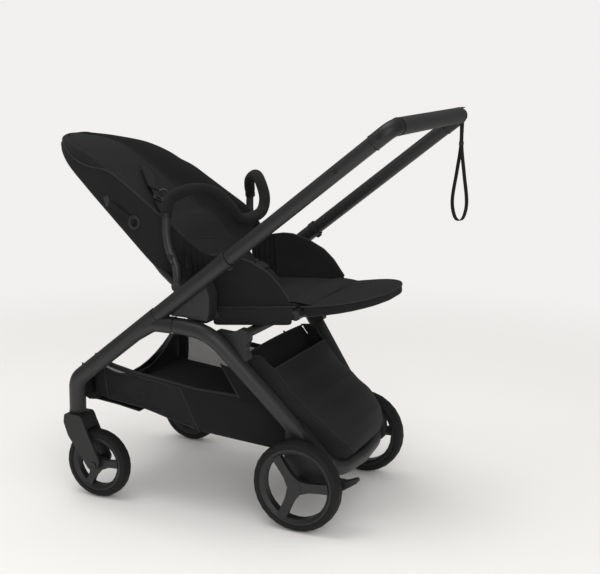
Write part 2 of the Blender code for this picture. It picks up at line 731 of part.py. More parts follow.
def wheel(word, centre, radius, width, arm_half, carrier):
    """Rim with three spokes, and the tyre on it."""
    cx, cy, cz = centre
    side = 1 if cy > 0 else -1
    rim_r = radius - TYRE_THICKNESS
    inner = rim_r - RIM_THICKNESS
    half = width / 2 - 0.003
    rim = turned(word, [(rim_r, half), (rim_r, -half), (rim_r - 0.004, -half),
                        (inner, -half * 0.62), (inner, half * 0.62), (rim_r - 0.004, half)],
                 centre, WHEEL_STEPS)
    lift = side * (width / 2 - 0.004 - SPOKE_THICKNESS / 2)
    outline = [(x + cx, z + cz) for x, z in
               spoke_outline(HUB_R, inner + 0.003, arm_half, arm_half * 1.12)]
    spokes = plate(word + "_spokes", outline, cy + lift - SPOKE_THICKNESS / 2,
                   cy + lift + SPOKE_THICKNESS / 2, CUTTERS)
    hub = cylinder(word + "_hub", (cx, cy - half, cz), (cx, cy + half, cz), HUB_R * 0.8, 20,
                   CUTTERS)
    bore = cylinder(word + "_bore", (cx, cy - side * (half + 0.01), cz),
                    (cx, cy + side * (half - 0.006), cz), AXLE_R + GAP, 14, CUTTERS)
    join(rim, spokes, hub)
    cut(rim, bore)
    moulded(rim)
    edge = rim_r + GAP
    tyre = turned(word.replace("wheel", "tyre"),
                  [(radius, width * 0.22), (radius, -width * 0.22),
                   (radius - 0.004, -width * 0.42), (edge + 0.003, -width / 2),
                   (edge, -width / 2 + 0.002), (edge, width / 2 - 0.002),
                   (edge + 0.003, width / 2), (radius - 0.004, width * 0.42)], centre,
                  WHEEL_STEPS)
    rubber(tyre)
    carry(carrier, rim, tyre)
    return rim, tyre


def rear_brackets(carrier):
    """Moulded carriers from the rear legs to the wheels, each with its axle stub."""
    pieces = []
    inner_face = REAR_WHEEL_Y - REAR_TYRE_WIDTH / 2 - 0.004
    clearance = bpy.data.objects["rear_frame_clearance"]
    for side, word in SIDES:
        outline = rounded_outline(
            [(REAR_WHEEL_X + x, REAR_WHEEL_R + z) for x, z in
             ((-0.038, 0.1558), (0.002, 0.1258), (0.070, 0.0538), (0.075, 0.0058),
              (0.015, -0.0232), (-0.020, -0.0162), (-0.045, 0.0438))],
            [0.012, 0.03, 0.015, 0.02, 0.02, 0.015, 0.03], 3)
        low, high = inner_face - 0.026, inner_face
        ends = sorted((side * low, side * high))
        bracket = plate("rear_bracket_" + word, outline, *ends)
        if side < 0:
            ear = box("brake_ear", (BRAKE_X - 0.025, -low - 0.008, BRAKE_Z - 0.009),
                      (BRAKE_X + 0.009, -low, BRAKE_Z + 0.009), CUTTERS)
            pin = cylinder("brake_pin", (BRAKE_X, -low - 0.004, BRAKE_Z),
                           (BRAKE_X, -low - 0.0265, BRAKE_Z), BRAKE_PIN_R, 12, CUTTERS)
            join(bracket, ear, pin)
        cut(bracket, clearance)
        stub = cylinder("axle_stub_" + word, (REAR_WHEEL_X, side * (low + 0.004), REAR_WHEEL_R),
                        (REAR_WHEEL_X, side * (REAR_WHEEL_Y + 0.008), REAR_WHEEL_R), AXLE_R, 14,
                        CUTTERS)
        join(bracket, stub)
        pieces.append(moulded(bracket))
    carry(carrier, *pieces)
    return pieces


def brake_pedal(carrier):
    """Foot pedal inboard of the left rear wheel, on a cross pin of its own."""
    y = -(REAR_WHEEL_Y - REAR_TYRE_WIDTH / 2 - 0.004 - 0.026) - 0.008 - GAP
    x, z = BRAKE_X, BRAKE_Z
    outline = rounded_outline([(x - 0.0085, z - 0.010), (x + 0.010, z - 0.012),
                               (x + 0.048, z + 0.014), (x + 0.046, z + 0.024),
                               (x + 0.020, z + 0.012), (x - 0.0085, z + 0.012)],
                              [0.008, 0.010, 0.005, 0.005, 0.03, 0.008], 3)
    pedal = plate("brake_pedal", outline, y - 0.0175, y)
    bore = cylinder("brake_bore", (x, y - 0.03, z), (x, y + 0.01, z), BRAKE_PIN_R + GAP, 12,
                    CUTTERS)
    cut(pedal, bore)
    moulded(pedal)
    carry(carrier, pedal)
    return pedal


def casters(left_carrier, right_carrier):
    """Two-armed forks that swivel under the front legs."""
    pieces = []
    slot_half = FRONT_TYRE_WIDTH / 2 + FORK_SIDE_CLEARANCE
    outer_half = slot_half + FORK_ARM
    foot_x, foot_y, foot_z = LEG_FOOT
    top = foot_z - GAP
    hub_z = FRONT_WHEEL_R
    corners = [(foot_x - 0.021, top), (foot_x + 0.026, top), (foot_x + 0.034, top - 0.020),
               (FRONT_WHEEL_X + 0.018, hub_z + 0.010), (FRONT_WHEEL_X + 0.006, hub_z - 0.016),
               (FRONT_WHEEL_X - 0.014, hub_z - 0.010), (foot_x - 0.012, top - 0.055),
               (foot_x - 0.024, top - 0.022)]
    outline = rounded_outline(corners, [0.006, 0.01, 0.01, 0.012, 0.012, 0.012, 0.02, 0.012], 3)
    for (side, word), carrier in zip(SIDES, (left_carrier, right_carrier)):
        y = side * foot_y
        fork = plate("caster_fork_" + word, outline, y - outer_half, y + outer_half)
        room = cylinder("wheel_room_" + word, (FRONT_WHEEL_X, y - slot_half, hub_z),
                        (FRONT_WHEEL_X, y + slot_half, hub_z), FRONT_WHEEL_R + 0.006, 32, CUTTERS)
        cut(fork, room)
        axle = cylinder("front_axle_" + word, (FRONT_WHEEL_X, y - outer_half + 0.002, hub_z),
                        (FRONT_WHEEL_X, y + outer_half - 0.002, hub_z), AXLE_R, 14, CUTTERS)
        stem = cylinder("stem_" + word, (foot_x, y, top - 0.010),
                        (foot_x, y, foot_z + STEM_LENGTH), STEM_R, 14, CUTTERS)
        join(fork, axle, stem)
        moulded(fork)
        carry(carrier, fork)
        pieces.append(fork)
    return pieces


def front_wheel(word, side, carrier):
    """Front wheel with a hub bored right through for the fork's axle."""
    foot_y = side * LEG_FOOT[1]
    centre = (FRONT_WHEEL_X, foot_y, FRONT_WHEEL_R)
    rim, tyre = wheel("front_wheel_" + word, centre, FRONT_WHEEL_R, FRONT_TYRE_WIDTH, 0.0085,
                      carrier)
    through = cylinder("front_wheel_through_" + word, (centre[0], foot_y - 0.03, centre[2]),
                       (centre[0], foot_y + 0.03, centre[2]), AXLE_R + GAP, 14, CUTTERS)
    cut(rim, through)
    return rim, tyre


def apron_half_width(z):
    """Inner face of the front legs' lower stretch at a height."""
    bend_z = line_at_x(LEG_BEND_X, 1).z
    share = (bend_z - z) / (bend_z - LEG_FOOT[2])
    share = min(max(share, 0.0), 1.0)
    return TUBE_Y + (LEG_FOOT[1] - TUBE_Y) * share - LEG_R - GAP


def front_apron():
    """Curved cross-member between the front legs that cradles the basket's front."""
    under = WALL / 2 + APRON_THICKNESS / 2 + GAP
    profile = [(LEG_BEND_X + x, LEG_BEND_Z + z) for x, z in
               ((0.0015, 0.0359), (-0.001, -0.0091), (-0.0015, -0.0361), (0.0025, -0.0511))]
    profile += [(LEG_BEND_X + x, basket_bottom(LEG_BEND_X + x) - under - dip)
                for x, dip in ((0.0185, 0.0), (0.0785, 0.0), (0.1385, 0.0035))]
    sag = 0.078

    def place(s, t):
        across = 2 * s - 1
        spot = t * (len(profile) - 1)
        first = min(int(spot), len(profile) - 2)
        x = profile[first][0] + (profile[first + 1][0] - profile[first][0]) * (spot - first)
        z = profile[first][1] + (profile[first + 1][1] - profile[first][1]) * (spot - first)
        upright = max(0.0, 1 - t * 2.2)
        z -= sag * upright * (1 - across * across)
        half = apron_half_width(z) - GAP if x < LEG_BEND_X + 0.0135 else BASKET_HALF_WIDTH - 0.0085
        return Vector((x, across * half, z))

    apron = sheet("front_apron", 12, 12, place, APRON_THICKNESS)
    return moulded(apron)


def seat_mounts():
    """Side plates under the lower tubes that carry the seat's pivot."""
    pieces = []
    for side, word in SIDES:
        outline = rounded_outline(
            [(PIVOT_X + x, PIVOT_Z + z) for x, z in
             ((-0.056, -0.029), (-0.050, -0.005), (0.034, 0.061), (0.047, 0.025),
              (0.046, -0.015), (0.036, -0.043), (-0.020, -0.031))],
            [0.006, 0.01, 0.01, 0.03, 0.03, 0.01, 0.02], 3)
        ends = sorted((side * MOUNT_INNER_Y, side * (TUBE_Y - 0.004)))
        mount = plate("seat_mount_" + word, outline, *ends)
        saddle = cylinder("mount_saddle_" + word, line_point(COLLAR_FROM_GRIP + 0.4, side),
                          line_point(COLLAR_FROM_GRIP, side), LOWER_TUBE_R + GAP, 20, CUTTERS)
        arch = solid_tube("mount_arch_room_" + word,
                          [(SPLIT_X - 0.05, side * TUBE_Y, ARCH_Z),
                           (SPLIT_X + 0.02, side * TUBE_Y, ARCH_Z),
                           (REAR_SHOULDER_X, side * TUBE_Y, ARCH_Z - 0.004)], LEG_R + 0.001, 16,
                          CUTTERS)
        bore = cylinder("mount_bore_" + word, (PIVOT_X, side * (MOUNT_INNER_Y - 0.01), PIVOT_Z),
                        (PIVOT_X, side * (MOUNT_INNER_Y + 0.016), PIVOT_Z), PIVOT_PIN_R + GAP, 14,
                        CUTTERS)
        cut(mount, saddle, arch, bore)
        pieces.append(moulded(mount))
    return pieces


def pivot_pins():
    pins = []
    for side, word in SIDES:
        pin = cylinder("recline_pin_" + word,
                       (PIVOT_X, side * (BASE_TUBE_Y - SEAT_TUBE_R), PIVOT_Z),
                       (PIVOT_X, side * (MOUNT_INNER_Y + 0.0155), PIVOT_Z), PIVOT_PIN_R, 14)
        pins.append(steel(pin))
    return pins


def seat_base():
    """Base frame, board, pad and the two side wings."""
    half = BASE_TUBE_Y
    front = base_point(BASE_LENGTH - 0.008, 0, 0.0).x
    low = SEAT_TUBE_R + 0.001
    path = [Vector((PIVOT_X, half, PIVOT_Z)), base_point(0.012, half, -low),
            base_point(BASE_LENGTH - 0.014, half, -low)]
    left = mirror_y(path[::-1], -1)
    frame = solid_tube("seat_base_frame",
                       rounded_path(path + left, [0.02, 0.012, 0.012, 0.02], 4), SEAT_TUBE_R, 10)
    for side, word in SIDES:
        y = side * half
        reach = SEAT_TUBE_R + 0.0005
        eye = cylinder("base_eye_" + word, (PIVOT_X, y - reach, PIVOT_Z),
                       (PIVOT_X, y + reach, PIVOT_Z), 0.0115, 20, CUTTERS)
        bore = cylinder("base_bore_" + word, (PIVOT_X, y - 0.02, PIVOT_Z),
                        (PIVOT_X, y + 0.02, PIVOT_Z), PIVOT_PIN_R + GAP, 14, CUTTERS)
        near, far = sorted((side * KNUCKLE_Y, side * (KNUCKLE_Y + 0.012)))
        knuckle = cylinder("rest_knuckle_" + word, (LEG_HINGE_X, near, LEG_HINGE_Z),
                           (LEG_HINGE_X, far, LEG_HINGE_Z), 0.011, 20, CUTTERS)
        web = box("rest_web_" + word, (front - 0.016, near + 0.001, LEG_HINGE_Z - 0.0105),
                  (LEG_HINGE_X, far - 0.001, LEG_HINGE_Z + 0.004), CUTTERS)
        pin = cylinder("rest_pin_" + word, (LEG_HINGE_X, side * (KNUCKLE_Y + 0.004), LEG_HINGE_Z),
                       (LEG_HINGE_X, side * (REST_ARM_Y - 0.0075), LEG_HINGE_Z), REST_PIN_R, 12,
                       CUTTERS)
        join(frame, eye, knuckle, web, pin)
        cut(frame, bore)
    painted(frame)

    def board_place(s, t):
        return base_point(t * BASE_LENGTH, (2 * s - 1) * BOARD_HALF_WIDTH, BOARD_THICKNESS / 2)

    board = sheet("seat_board", 1, 1, board_place, BOARD_THICKNESS)
    moulded(board)

    def pad_place(s, t, up):
        return base_point(0.004 + t * (BASE_LENGTH - 0.008), (2 * s - 1) * (BOARD_HALF_WIDTH - 0.003),
                          BOARD_THICKNESS + GAP + up)

    pad = cushion("seat_pad", 5, 4, pad_place, crown(SEAT_PAD_THICKNESS, SEAT_PAD_CROWN))
    cloth(pad)

    wings = []
    for side, word in SIDES:
        y = side * (BOARD_HALF_WIDTH + GAP + WING_THICKNESS / 2)

        def wing_place(s, t, y=y):
            rise = 0.138 * math.sqrt(max(0.0, 1 - (max(0.0, s - 0.35) / 0.68) ** 2.2))
            return base_point(WING_START + s * (BASE_LENGTH - 0.006), 0, t * rise) \
                + Vector((0, y, 0))

        wings.append(cloth(sheet("seat_wing_" + word, 10, 4, wing_place, WING_THICKNESS)))
    return [frame, board, pad] + wings


def seat_gussets():
    """Pleated cloth between the back's sides and the base's wings."""
    pieces = []
    for side, word in SIDES:
        y = side * (BOARD_HALF_WIDTH + GAP + WING_THICKNESS / 2)
        rear_low = base_point(WING_START - GAP, 0, 0.008)
        rear_high = base_point(WING_START - GAP, 0, 0.134)
        lap = 0.010

        def place(s, t, y=y, side=side):
            up = BACK_WALL_START + (BACK_WALL_FULL - BACK_WALL_START) * t + lap
            outer = back_point(up, side * (back_half_width(up) * 0.985 - GUSSET_THICKNESS / 2 - GAP),
                               0.005 + t * (BACK_WALL_HEIGHT - 0.008))
            inner = rear_low.lerp(rear_high, t) + Vector((0, y, 0))
            ripple = 0.0022 * math.sin(s * math.pi * 6) * math.sin(math.pi * t)
            return outer.lerp(inner, s) + Vector((0, side * ripple, 0))

        pieces.append(cloth(sheet("seat_gusset_" + word, 12, 3, place, GUSSET_THICKNESS)))
    return pieces


def back_half_width(up):
    """Inner half width of the back at a distance up from the pivot."""
    shoulder = 0.470
    width = BACK_HALF_WIDTH - BACK_TAPER * up
    if up > shoulder:
        share = (up - shoulder) / (BACK_LENGTH - shoulder)
        width *= math.sqrt(max(0.0, 1 - share ** 2.1))
    return width


def back_wall_height(up):
    fade = 0.43
    if up < BACK_WALL_FULL:
        return BACK_WALL_HEIGHT * max(0.0, up - BACK_WALL_START) / (
            BACK_WALL_FULL - BACK_WALL_START)
    if up > fade:
        return BACK_WALL_HEIGHT * max(0.0, 1 - ((up - fade) / (BACK_LENGTH - fade - 0.03)) ** 1.6)
    return BACK_WALL_HEIGHT


def backrest(carrier):
    """Frame loop, bucket shell and pad of the reclining back."""
    drop = -(BACK_FRAME_DROP + SEAT_TUBE_R + GAP)
    right = [back_point(0, BACK_TUBE_Y, 0), back_point(0.045, BACK_TUBE_Y, -0.010),
             back_point(0.100, 0.1870, drop), back_point(0.160, 0.1740, drop)]
    right += [back_point(up, back_half_width(up) - 0.002, drop)
              for up in (0.25, 0.35, 0.44, 0.50, 0.54, 0.565)]
    right.append(back_point(0.5745, 0.020, drop))
    path = right + mirror_y(right[::-1], -1)
    frame = solid_tube("backrest_frame", smooth_path(path, 36), SEAT_TUBE_R, 8)
    hub = back_point(BUMPER_REACH, 0, -0.004)
    for side, word in SIDES:
        y = side * BACK_TUBE_Y
        eye = cylinder("back_eye_" + word, (PIVOT_X, y - SEAT_TUBE_R, PIVOT_Z),
                       (PIVOT_X, y + SEAT_TUBE_R, PIVOT_Z), 0.0115, 20, CUTTERS)
        boss = cylinder("bumper_boss_" + word, (hub.x, y - SEAT_TUBE_R, hub.z),
                        (hub.x, y + SEAT_TUBE_R, hub.z), 0.0125, 20, CUTTERS)
        bore = cylinder("back_bore_" + word, (PIVOT_X, y - 0.02, PIVOT_Z),
                        (PIVOT_X, y + 0.02, PIVOT_Z), PIVOT_PIN_R + GAP, 14, CUTTERS)
        join(frame, eye, boss)
        cut(frame, bore)
    painted(frame)

    columns = [(-1, 1), (-1, 0.66), (-1, 0.34), (-0.985, 0.10), (-0.88, 0.0), (-0.6, 0.0),
               (-0.3, 0), (0, 0), (0.3, 0), (0.6, 0.0), (0.88, 0.0), (0.985, 0.10), (1, 0.34),
               (1, 0.66), (1, 1)]

    rows = [BACK_START, 0.075, BACK_WALL_START, BACK_WALL_FULL, 0.20, 0.25, 0.30, 0.35, 0.40, 0.43,
            0.46, 0.49, 0.515, 0.535, 0.553, 0.567, 0.576]

    def shell_place(s, t):
        up = rows[round(t * (len(rows) - 1))]
        across, rise = columns[round(s * (len(columns) - 1))]
        width = back_half_width(up)
        if up <= BACK_WALL_START:
            if up < BACK_WALL_START:
                width = 0.156
            return back_point(up, across * width * (1.0 + 0.01 * rise), 0.0)
        return back_point(up, across * width, rise * back_wall_height(up))

    shell = sheet("backrest_shell", len(columns) - 1, len(rows) - 1, shell_place,
                  BACK_SHELL_THICKNESS, -1.0)
    cloth(shell)

    def pad_place(s, t, out):
        up = 0.060 + t * 0.475
        width = min(back_half_width(up) - 0.030, 0.135)
        return back_point(up, (2 * s - 1) * width, GAP + out)

    pad = cushion("back_pad", 5, 8, pad_place, crown(BACK_PAD_THICKNESS, BACK_PAD_CROWN))
    cloth(pad)
    carry(carrier, frame, shell, pad)
    return [frame, shell, pad]


def harness(carrier):
    """Shoulder straps with their pads, lying on the back pad."""
    pieces = []
    base = BACK_PAD_THICKNESS + BACK_PAD_CROWN - GAP + STRAP_PAD_THICKNESS / 2
    for side, word in SIDES:
        def place(s, t, side=side):
            up = 0.400 - t * 0.250
            half = 0.022 if t < 0.62 else 0.0125
            return back_point(up, side * (0.052 + 0.018 * t) + (2 * s - 1) * half, base)

        pieces.append(cloth(sheet("shoulder_strap_" + word, 2, 8, place, STRAP_PAD_THICKNESS)))
    carry(carrier, *pieces)
    return pieces


def buckle():
    """Crotch strap with the buckle on its end, standing on the seat pad."""
    top = BOARD_THICKNESS + SEAT_PAD_THICKNESS + SEAT_PAD_CROWN + GAP
    strap = box("crotch_buckle", (-0.006, -0.015, 0), (0.006, 0.015, 0.055))
    strap.data.transform(Matrix.Translation(base_point(0.085, 0, top)))
    head = box("buckle_head", (-0.009, -0.026, 0.030), (0.009, 0.026, 0.070), CUTTERS)
    head.data.transform(Matrix.Translation(base_point(0.085, 0, top)))
    join(strap, head)
    moulded(soften(strap, 0.002, 1))
    return strap


def leg_rest(carrier):
    """Hinged loop of tube with a padded panel on it."""
    half = LEG_REST_HALF_WIDTH - 0.012
    drop = -0.004
    arm_y = REST_ARM_Y
    right = [rest_point(0, arm_y, 0), rest_point(0.02, arm_y, drop), rest_point(0.10, half * 0.97, drop),
             rest_point(0.150, 0.085, drop), rest_point(0.163, 0.030, drop)]
    path = right + mirror_y(right[::-1], -1)
    frame = solid_tube("leg_rest_frame", smooth_path(path, 24), LEG_REST_TUBE_R, 8)
    for side, word in SIDES:
        y = side * arm_y
        eye = cylinder("rest_eye_" + word, (LEG_HINGE_X, y - 0.0065, LEG_HINGE_Z),
                       (LEG_HINGE_X, y + 0.0065, LEG_HINGE_Z), 0.0105, 20, CUTTERS)
        bore = cylinder("rest_bore_" + word, (LEG_HINGE_X, y - 0.02, LEG_HINGE_Z),
                        (LEG_HINGE_X, y + 0.02, LEG_HINGE_Z), REST_PIN_R + GAP, 12, CUTTERS)
        join(frame, eye)
        cut(frame, bore)
    painted(frame)

    def place(s, t, up):
        along = 0.016 + t * (LEG_REST_LENGTH - 0.022)
        share = max(0.0, (t - 0.30) / 0.72)
        width = LEG_REST_HALF_WIDTH * math.sqrt(max(0.0, 1 - share ** 2.4))
        return rest_point(along, (2 * s - 1) * width, drop + LEG_REST_TUBE_R - GAP + up)

    pad = cushion("leg_rest_pad", 6, 6, place, crown(LEG_REST_THICKNESS - 0.006, 0.004))
    cloth(pad)
    carry(carrier, frame, pad)
    return [frame, pad]


def bumper_bar(carrier, button_carriers):
    """Covered bar on two moulded sleeves, each with its hub and button."""
    hub = back_point(BUMPER_REACH, 0, -0.004)
    wide = BUMPER_Y
    half = [(hub.x + x, wide * share, hub.z + z) for x, share, z in
            ((-0.0274, 1.0, 0.1638), (-0.0184, 0.854, 0.2028), (0.0276, 0.566, 0.2228),
             (0.0766, 0.336, 0.1788), (0.0976, 0.0, 0.1288))]
    path = half + [(x, -y, z) for x, y, z in half[-2::-1]]
    bar = solid_tube("bumper_bar", smooth_path(path, 28), BUMPER_R, 12)
    cloth(bar)
    pieces = [bar]
    for (side, word), button_carrier in zip(SIDES, button_carriers):
        y = side * BUMPER_Y
        knots = [(hub.x, y, hub.z), (hub.x - 0.004, y, hub.z + 0.0458),
                 (hub.x - 0.0204, y, hub.z + 0.0808), (hub.x - 0.0284, y, hub.z + 0.1228),
                 (half[0][0], y, half[0][2] - 0.003)]
        press = Vector((hub.x - 0.0139, y, hub.z + 0.0678))
        sleeve = solid_tube("bumper_sleeve_" + word, smooth_path(knots, 8), SLEEVE_R, 12)
        disc = cylinder("bumper_disc_" + word,
                        (hub.x, side * (BACK_TUBE_Y + SEAT_TUBE_R + GAP), hub.z),
                        (hub.x, side * (BUMPER_Y + 0.008), hub.z), 0.0135, 24, CUTTERS)
        well = cylinder("button_well_" + word, (press.x, y + side * 0.0055, press.z),
                        (press.x, y + side * 0.02, press.z), 0.0062, 16, CUTTERS)
        bar_room = solid_tube("bar_room_" + word, smooth_path(path, 28), BUMPER_R + GAP, 12,
                              CUTTERS)
        join(sleeve, disc)
        cut(sleeve, well, bar_room)
        moulded(sleeve)
        button = cylinder("bumper_button_" + word,
                          (press.x, y + side * (0.0055 + BUTTON_TRAVEL), press.z),
                          (press.x, y + side * 0.0125, press.z), 0.0058, 16)
        moulded(button)
        carry(button_carrier, button)
        pieces += [sleeve, button]
    carry(carrier, *[p for p in pieces if not p.name.startswith("bumper_button")])
    return pieces


def basket_top(x):
    """Height of the basket's side hem."""
    knots = [(LEG_BEND_X + x, LEG_BEND_Z + z) for x, z in
             ((0.0135, 0.0579), (0.0715, 0.0349), (0.1385, 0.0219), (0.3035, 0.0029),
              (0.4295, -0.0121), (0.5235, -0.0061))]
    for (x0, z0), (x1, z1) in zip(knots, knots[1:]):
        if x <= x1:
            share = max(0.0, (x - x0) / (x1 - x0))
            return z0 + (z1 - z0) * share
    return knots[-1][1]


def basket_bottom(x):
    knots = [(LEG_BEND_X + x, LEG_BEND_Z + z) for x, z in
             ((0.0135, -0.0581), (0.1545, -0.0716), (0.2965, -0.1061), (0.4615, -0.1361),
              (0.6035, -0.1461))]
    for (x0, z0), (x1, z1) in zip(knots, knots[1:]):
        if x <= x1:
            share = max(0.0, (x - x0) / (x1 - x0))
            return z0 + (z1 - z0) * share
    return knots[-1][1]


def rear_plane_x(z):
    """The rear frame's plane: its x at a height."""
    share = (REAR_TOP.z - z) / (REAR_TOP.z - REAR_LOW.z)
    return REAR_TOP.x + (REAR_LOW.x - REAR_TOP.x) * share


def basket_tub():
    """Open tub: two sides, a floor and a front wall, hung between the frames."""
    front = LEG_BEND_X + 0.0235
    setback = (POUCH_FRONT + WALL / 2 + GAP) / REAR_OUT.x + 0.001
    columns = [0.0, 0.30, 0.62, 0.88, 1.0]
    count = 2 * len(columns) + 3

    def section(x, s):
        """Left hem, left wall, floor, right wall, right hem."""
        spot = s * (count - 1)
        middle = (count - 1) / 2
        away = abs(spot - middle) / middle
        side = -1 if spot < middle else 1
        rear_share = min(max(x / 0.20, 0.0), 1.0)
        half = BASKET_HALF_WIDTH + (BASKET_REAR_HALF_WIDTH - BASKET_HALF_WIDTH) * rear_share
        top, low = basket_top(x), basket_bottom(x)
        if away < 0.42:
            return side * half * 0.94 * away / 0.42, low
        rise = (away - 0.42) / 0.58
        bulge = 1 - 0.06 * (1 - rise) ** 3
        return side * half * bulge, low + (top - low) * rise

    def place(s, t):
        end = 0.200
        for _ in range(6):
            y, z = section(front + t * (end - front), s)
            end = rear_plane_x(z) - setback
        return Vector((front + t * (end - front), y, z))

    tub = sheet("basket_tub", count - 1, 14, place, WALL)
    return cloth(tub)


def basket_pouch(carrier):
    """Rear bag of the basket: a pocket that hangs between the rear legs."""
    top, low = 0.105, 0.372
    wide, middle, narrow = 0.160, 0.1530, 0.098

    def outline(shrink, lift):
        corners = [(-(wide - shrink), -top + lift), (wide - shrink, -top + lift),
                   (middle - shrink, -(low - 0.080)), (narrow - shrink, -low + shrink),
                   (-(narrow - shrink), -low + shrink), (-(middle - shrink), -(low - 0.080))]
        return rounded_outline(corners, [0, 0, 0.06, 0.04, 0.04, 0.06], 4)

    pose = Matrix((( 0, REAR_OUT.x, -REAR_DOWN.x, REAR_TOP.x),
                   (-1, 0, 0, 0),
                   (0, REAR_OUT.z, -REAR_DOWN.z, REAR_TOP.z),
                   (0, 0, 0, 1)))
    face = -POUCH_FRONT
    bag = plate("basket_pouch", outline(0, 0), face, face + POUCH_DEPTH)
    room = plate("pouch_room", outline(POUCH_SIDE, 0.08), face + WALL, face + POUCH_DEPTH - WALL,
                 CUTTERS)
    for obj in (bag, room):
        obj.data.transform(pose)
    cut(bag, room, bpy.data.objects["rear_frame_clearance"])
    cloth(bag)
    carry(carrier, bag)
    return bag


def build():
    handle_body = empty("handle_slide", (HANDLE_X, 0, HANDLE_Z))
    strap_body = empty("wrist_strap_swing", (HANDLE_X, TUBE_Y, HANDLE_Z), handle_body)
    rear_body = empty("rear_fold", (HINGE.x, 0, HINGE.z))
    back_body = empty("back_recline", PIVOT)
    rest_body = empty("leg_rest_hinge", REST_HINGE)
    hub = back_point(BUMPER_REACH, 0, -0.004)
    bumper_body = empty("bumper_hinge", hub, back_body)
    front_legs()
    lower_tubes()
    handle(handle_body)
    wrist_strap(strap_body)
    rear_frame(rear_body)
    rear_brackets(rear_body)
    for side, word in SIDES:
        spot = (REAR_WHEEL_X, side * REAR_WHEEL_Y, REAR_WHEEL_R)
        spin = empty("rear_wheel_spin_" + word, spot, rear_body)
        wheel("rear_wheel_" + word, spot, REAR_WHEEL_R, REAR_TYRE_WIDTH, 0.0105, spin)
    brake_body = empty("brake_hinge", (BRAKE_X, -REAR_CORNER[1], BRAKE_Z), rear_body)
    brake_pedal(brake_body)
    swivels = []
    for side, word in SIDES:
        swivel = empty("caster_swivel_" + word, (LEG_FOOT[0], side * LEG_FOOT[1], LEG_FOOT[2]))
        swivels.append(swivel)
    casters(*swivels)
    for (side, word), swivel in zip(SIDES, swivels):
        spin = empty("front_wheel_spin_" + word,
                     (FRONT_WHEEL_X, side * LEG_FOOT[1], FRONT_WHEEL_R), swivel)
        front_wheel(word, side, spin)
    front_apron()
    seat_mounts()
    pivot_pins()
    seat_base()
    seat_gussets()
    backrest(back_body)
    harness(back_body)
    buckle()
    leg_rest(rest_body)
    buttons = [empty("bumper_button_slide_" + word, (-0.0535, side * BUMPER_Y, 0.607), bumper_body)
               for side, word in SIDES]
    bumper_bar(bumper_body, buttons)
    basket_tub()
    basket_pouch(rear_body)
    bpy.context.view_layer.update()


build()
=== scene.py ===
"""Covers, trims and finishes of a pushchair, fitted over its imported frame.

Metres, +Z up, travel toward -X, the handle at +X. Left is -Y and right is +Y.
"""
import json
import math

import bmesh
import bpy
from mathutils import Matrix, Vector


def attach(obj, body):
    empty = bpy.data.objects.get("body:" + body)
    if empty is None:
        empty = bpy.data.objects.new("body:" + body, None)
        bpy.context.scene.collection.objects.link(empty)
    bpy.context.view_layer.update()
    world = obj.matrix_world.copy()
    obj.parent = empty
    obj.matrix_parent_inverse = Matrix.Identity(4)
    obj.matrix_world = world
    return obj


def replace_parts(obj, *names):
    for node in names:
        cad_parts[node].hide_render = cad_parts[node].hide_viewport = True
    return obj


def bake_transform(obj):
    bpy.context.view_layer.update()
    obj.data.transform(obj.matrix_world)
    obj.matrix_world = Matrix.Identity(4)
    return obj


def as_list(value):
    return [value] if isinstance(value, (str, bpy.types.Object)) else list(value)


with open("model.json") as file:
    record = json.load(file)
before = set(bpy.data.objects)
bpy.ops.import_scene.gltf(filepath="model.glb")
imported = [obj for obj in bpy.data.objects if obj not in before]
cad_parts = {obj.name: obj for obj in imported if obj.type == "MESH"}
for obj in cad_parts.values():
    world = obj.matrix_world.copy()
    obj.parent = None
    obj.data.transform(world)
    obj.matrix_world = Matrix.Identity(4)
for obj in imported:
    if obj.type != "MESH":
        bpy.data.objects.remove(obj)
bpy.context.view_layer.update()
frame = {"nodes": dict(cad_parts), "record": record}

bl_info = {
    "name": "Pushchair covers and finishes",
    "version": (1, 0, 0),
    "blender": (4, 5, 0),
    "location": "View3D > Sidebar > Pushchair",
    "description": "Sews the covers, fits the trims and paints the frame of a pushchair",
    "category": "Object",
}

SIDES = ((-1, "left"), (1, "right"))

# Main line of the handle and the front legs
HANDLE_X, HANDLE_Z = 0.483, 0.9175
LINE_ANGLE = math.radians(38.4)
TUBE_Y = 0.242
HANDLE_TUBE_R = 0.0165
COLLAR_FROM_GRIP = 0.4782
GRIP_END = TUBE_Y - 0.028
LEG_R, REAR_R = 0.020, 0.019
SPLIT_X, ARCH_Z = -0.030, 0.4555
FOOT_X, FOOT_Y, FOOT_Z = -0.3175, 0.225, 0.206

# Wheels: axle x, radius, middle y and tyre width
REAR_WHEEL = (0.260, 0.1062, 0.2055, 0.039)
FRONT_WHEEL = (-0.260, 0.0845, 0.225, 0.035)
RIM_INSET = 0.0165

# Seat
PIVOT_X, PIVOT_Z = 0.010, 0.505
BACK_ANGLE = math.radians(38.2)
BASE_SLOPE = math.radians(6.0)
BASE_X, BASE_Z = 0.034, 0.4705
BASE_LENGTH = 0.188 / math.cos(BASE_SLOPE)
BOARD_THICKNESS = 0.007
WING_Y = 0.1583
HINGE_X, HINGE_Z = 0.2385, 0.4900
REST_ANGLE = math.radians(11.0)
REST_LENGTH = 0.178
BUMPER_HUB = (-0.0396, 0.539)
BUMPER_Y = 0.2085

# Rear legs: ends as (x, z), and how far each leans in for a metre of its length
REAR_TOP, REAR_LOW = (0.062, 0.446), (0.322, 0.125)
REAR_LEAN = 0.103 / 0.413
REAR_LENGTH = math.hypot(REAR_LOW[0] - REAR_TOP[0], REAR_LOW[1] - REAR_TOP[1])

# Thickness of the outer cloth and of the lining
CLOTH, LINING = 0.0022, 0.0018

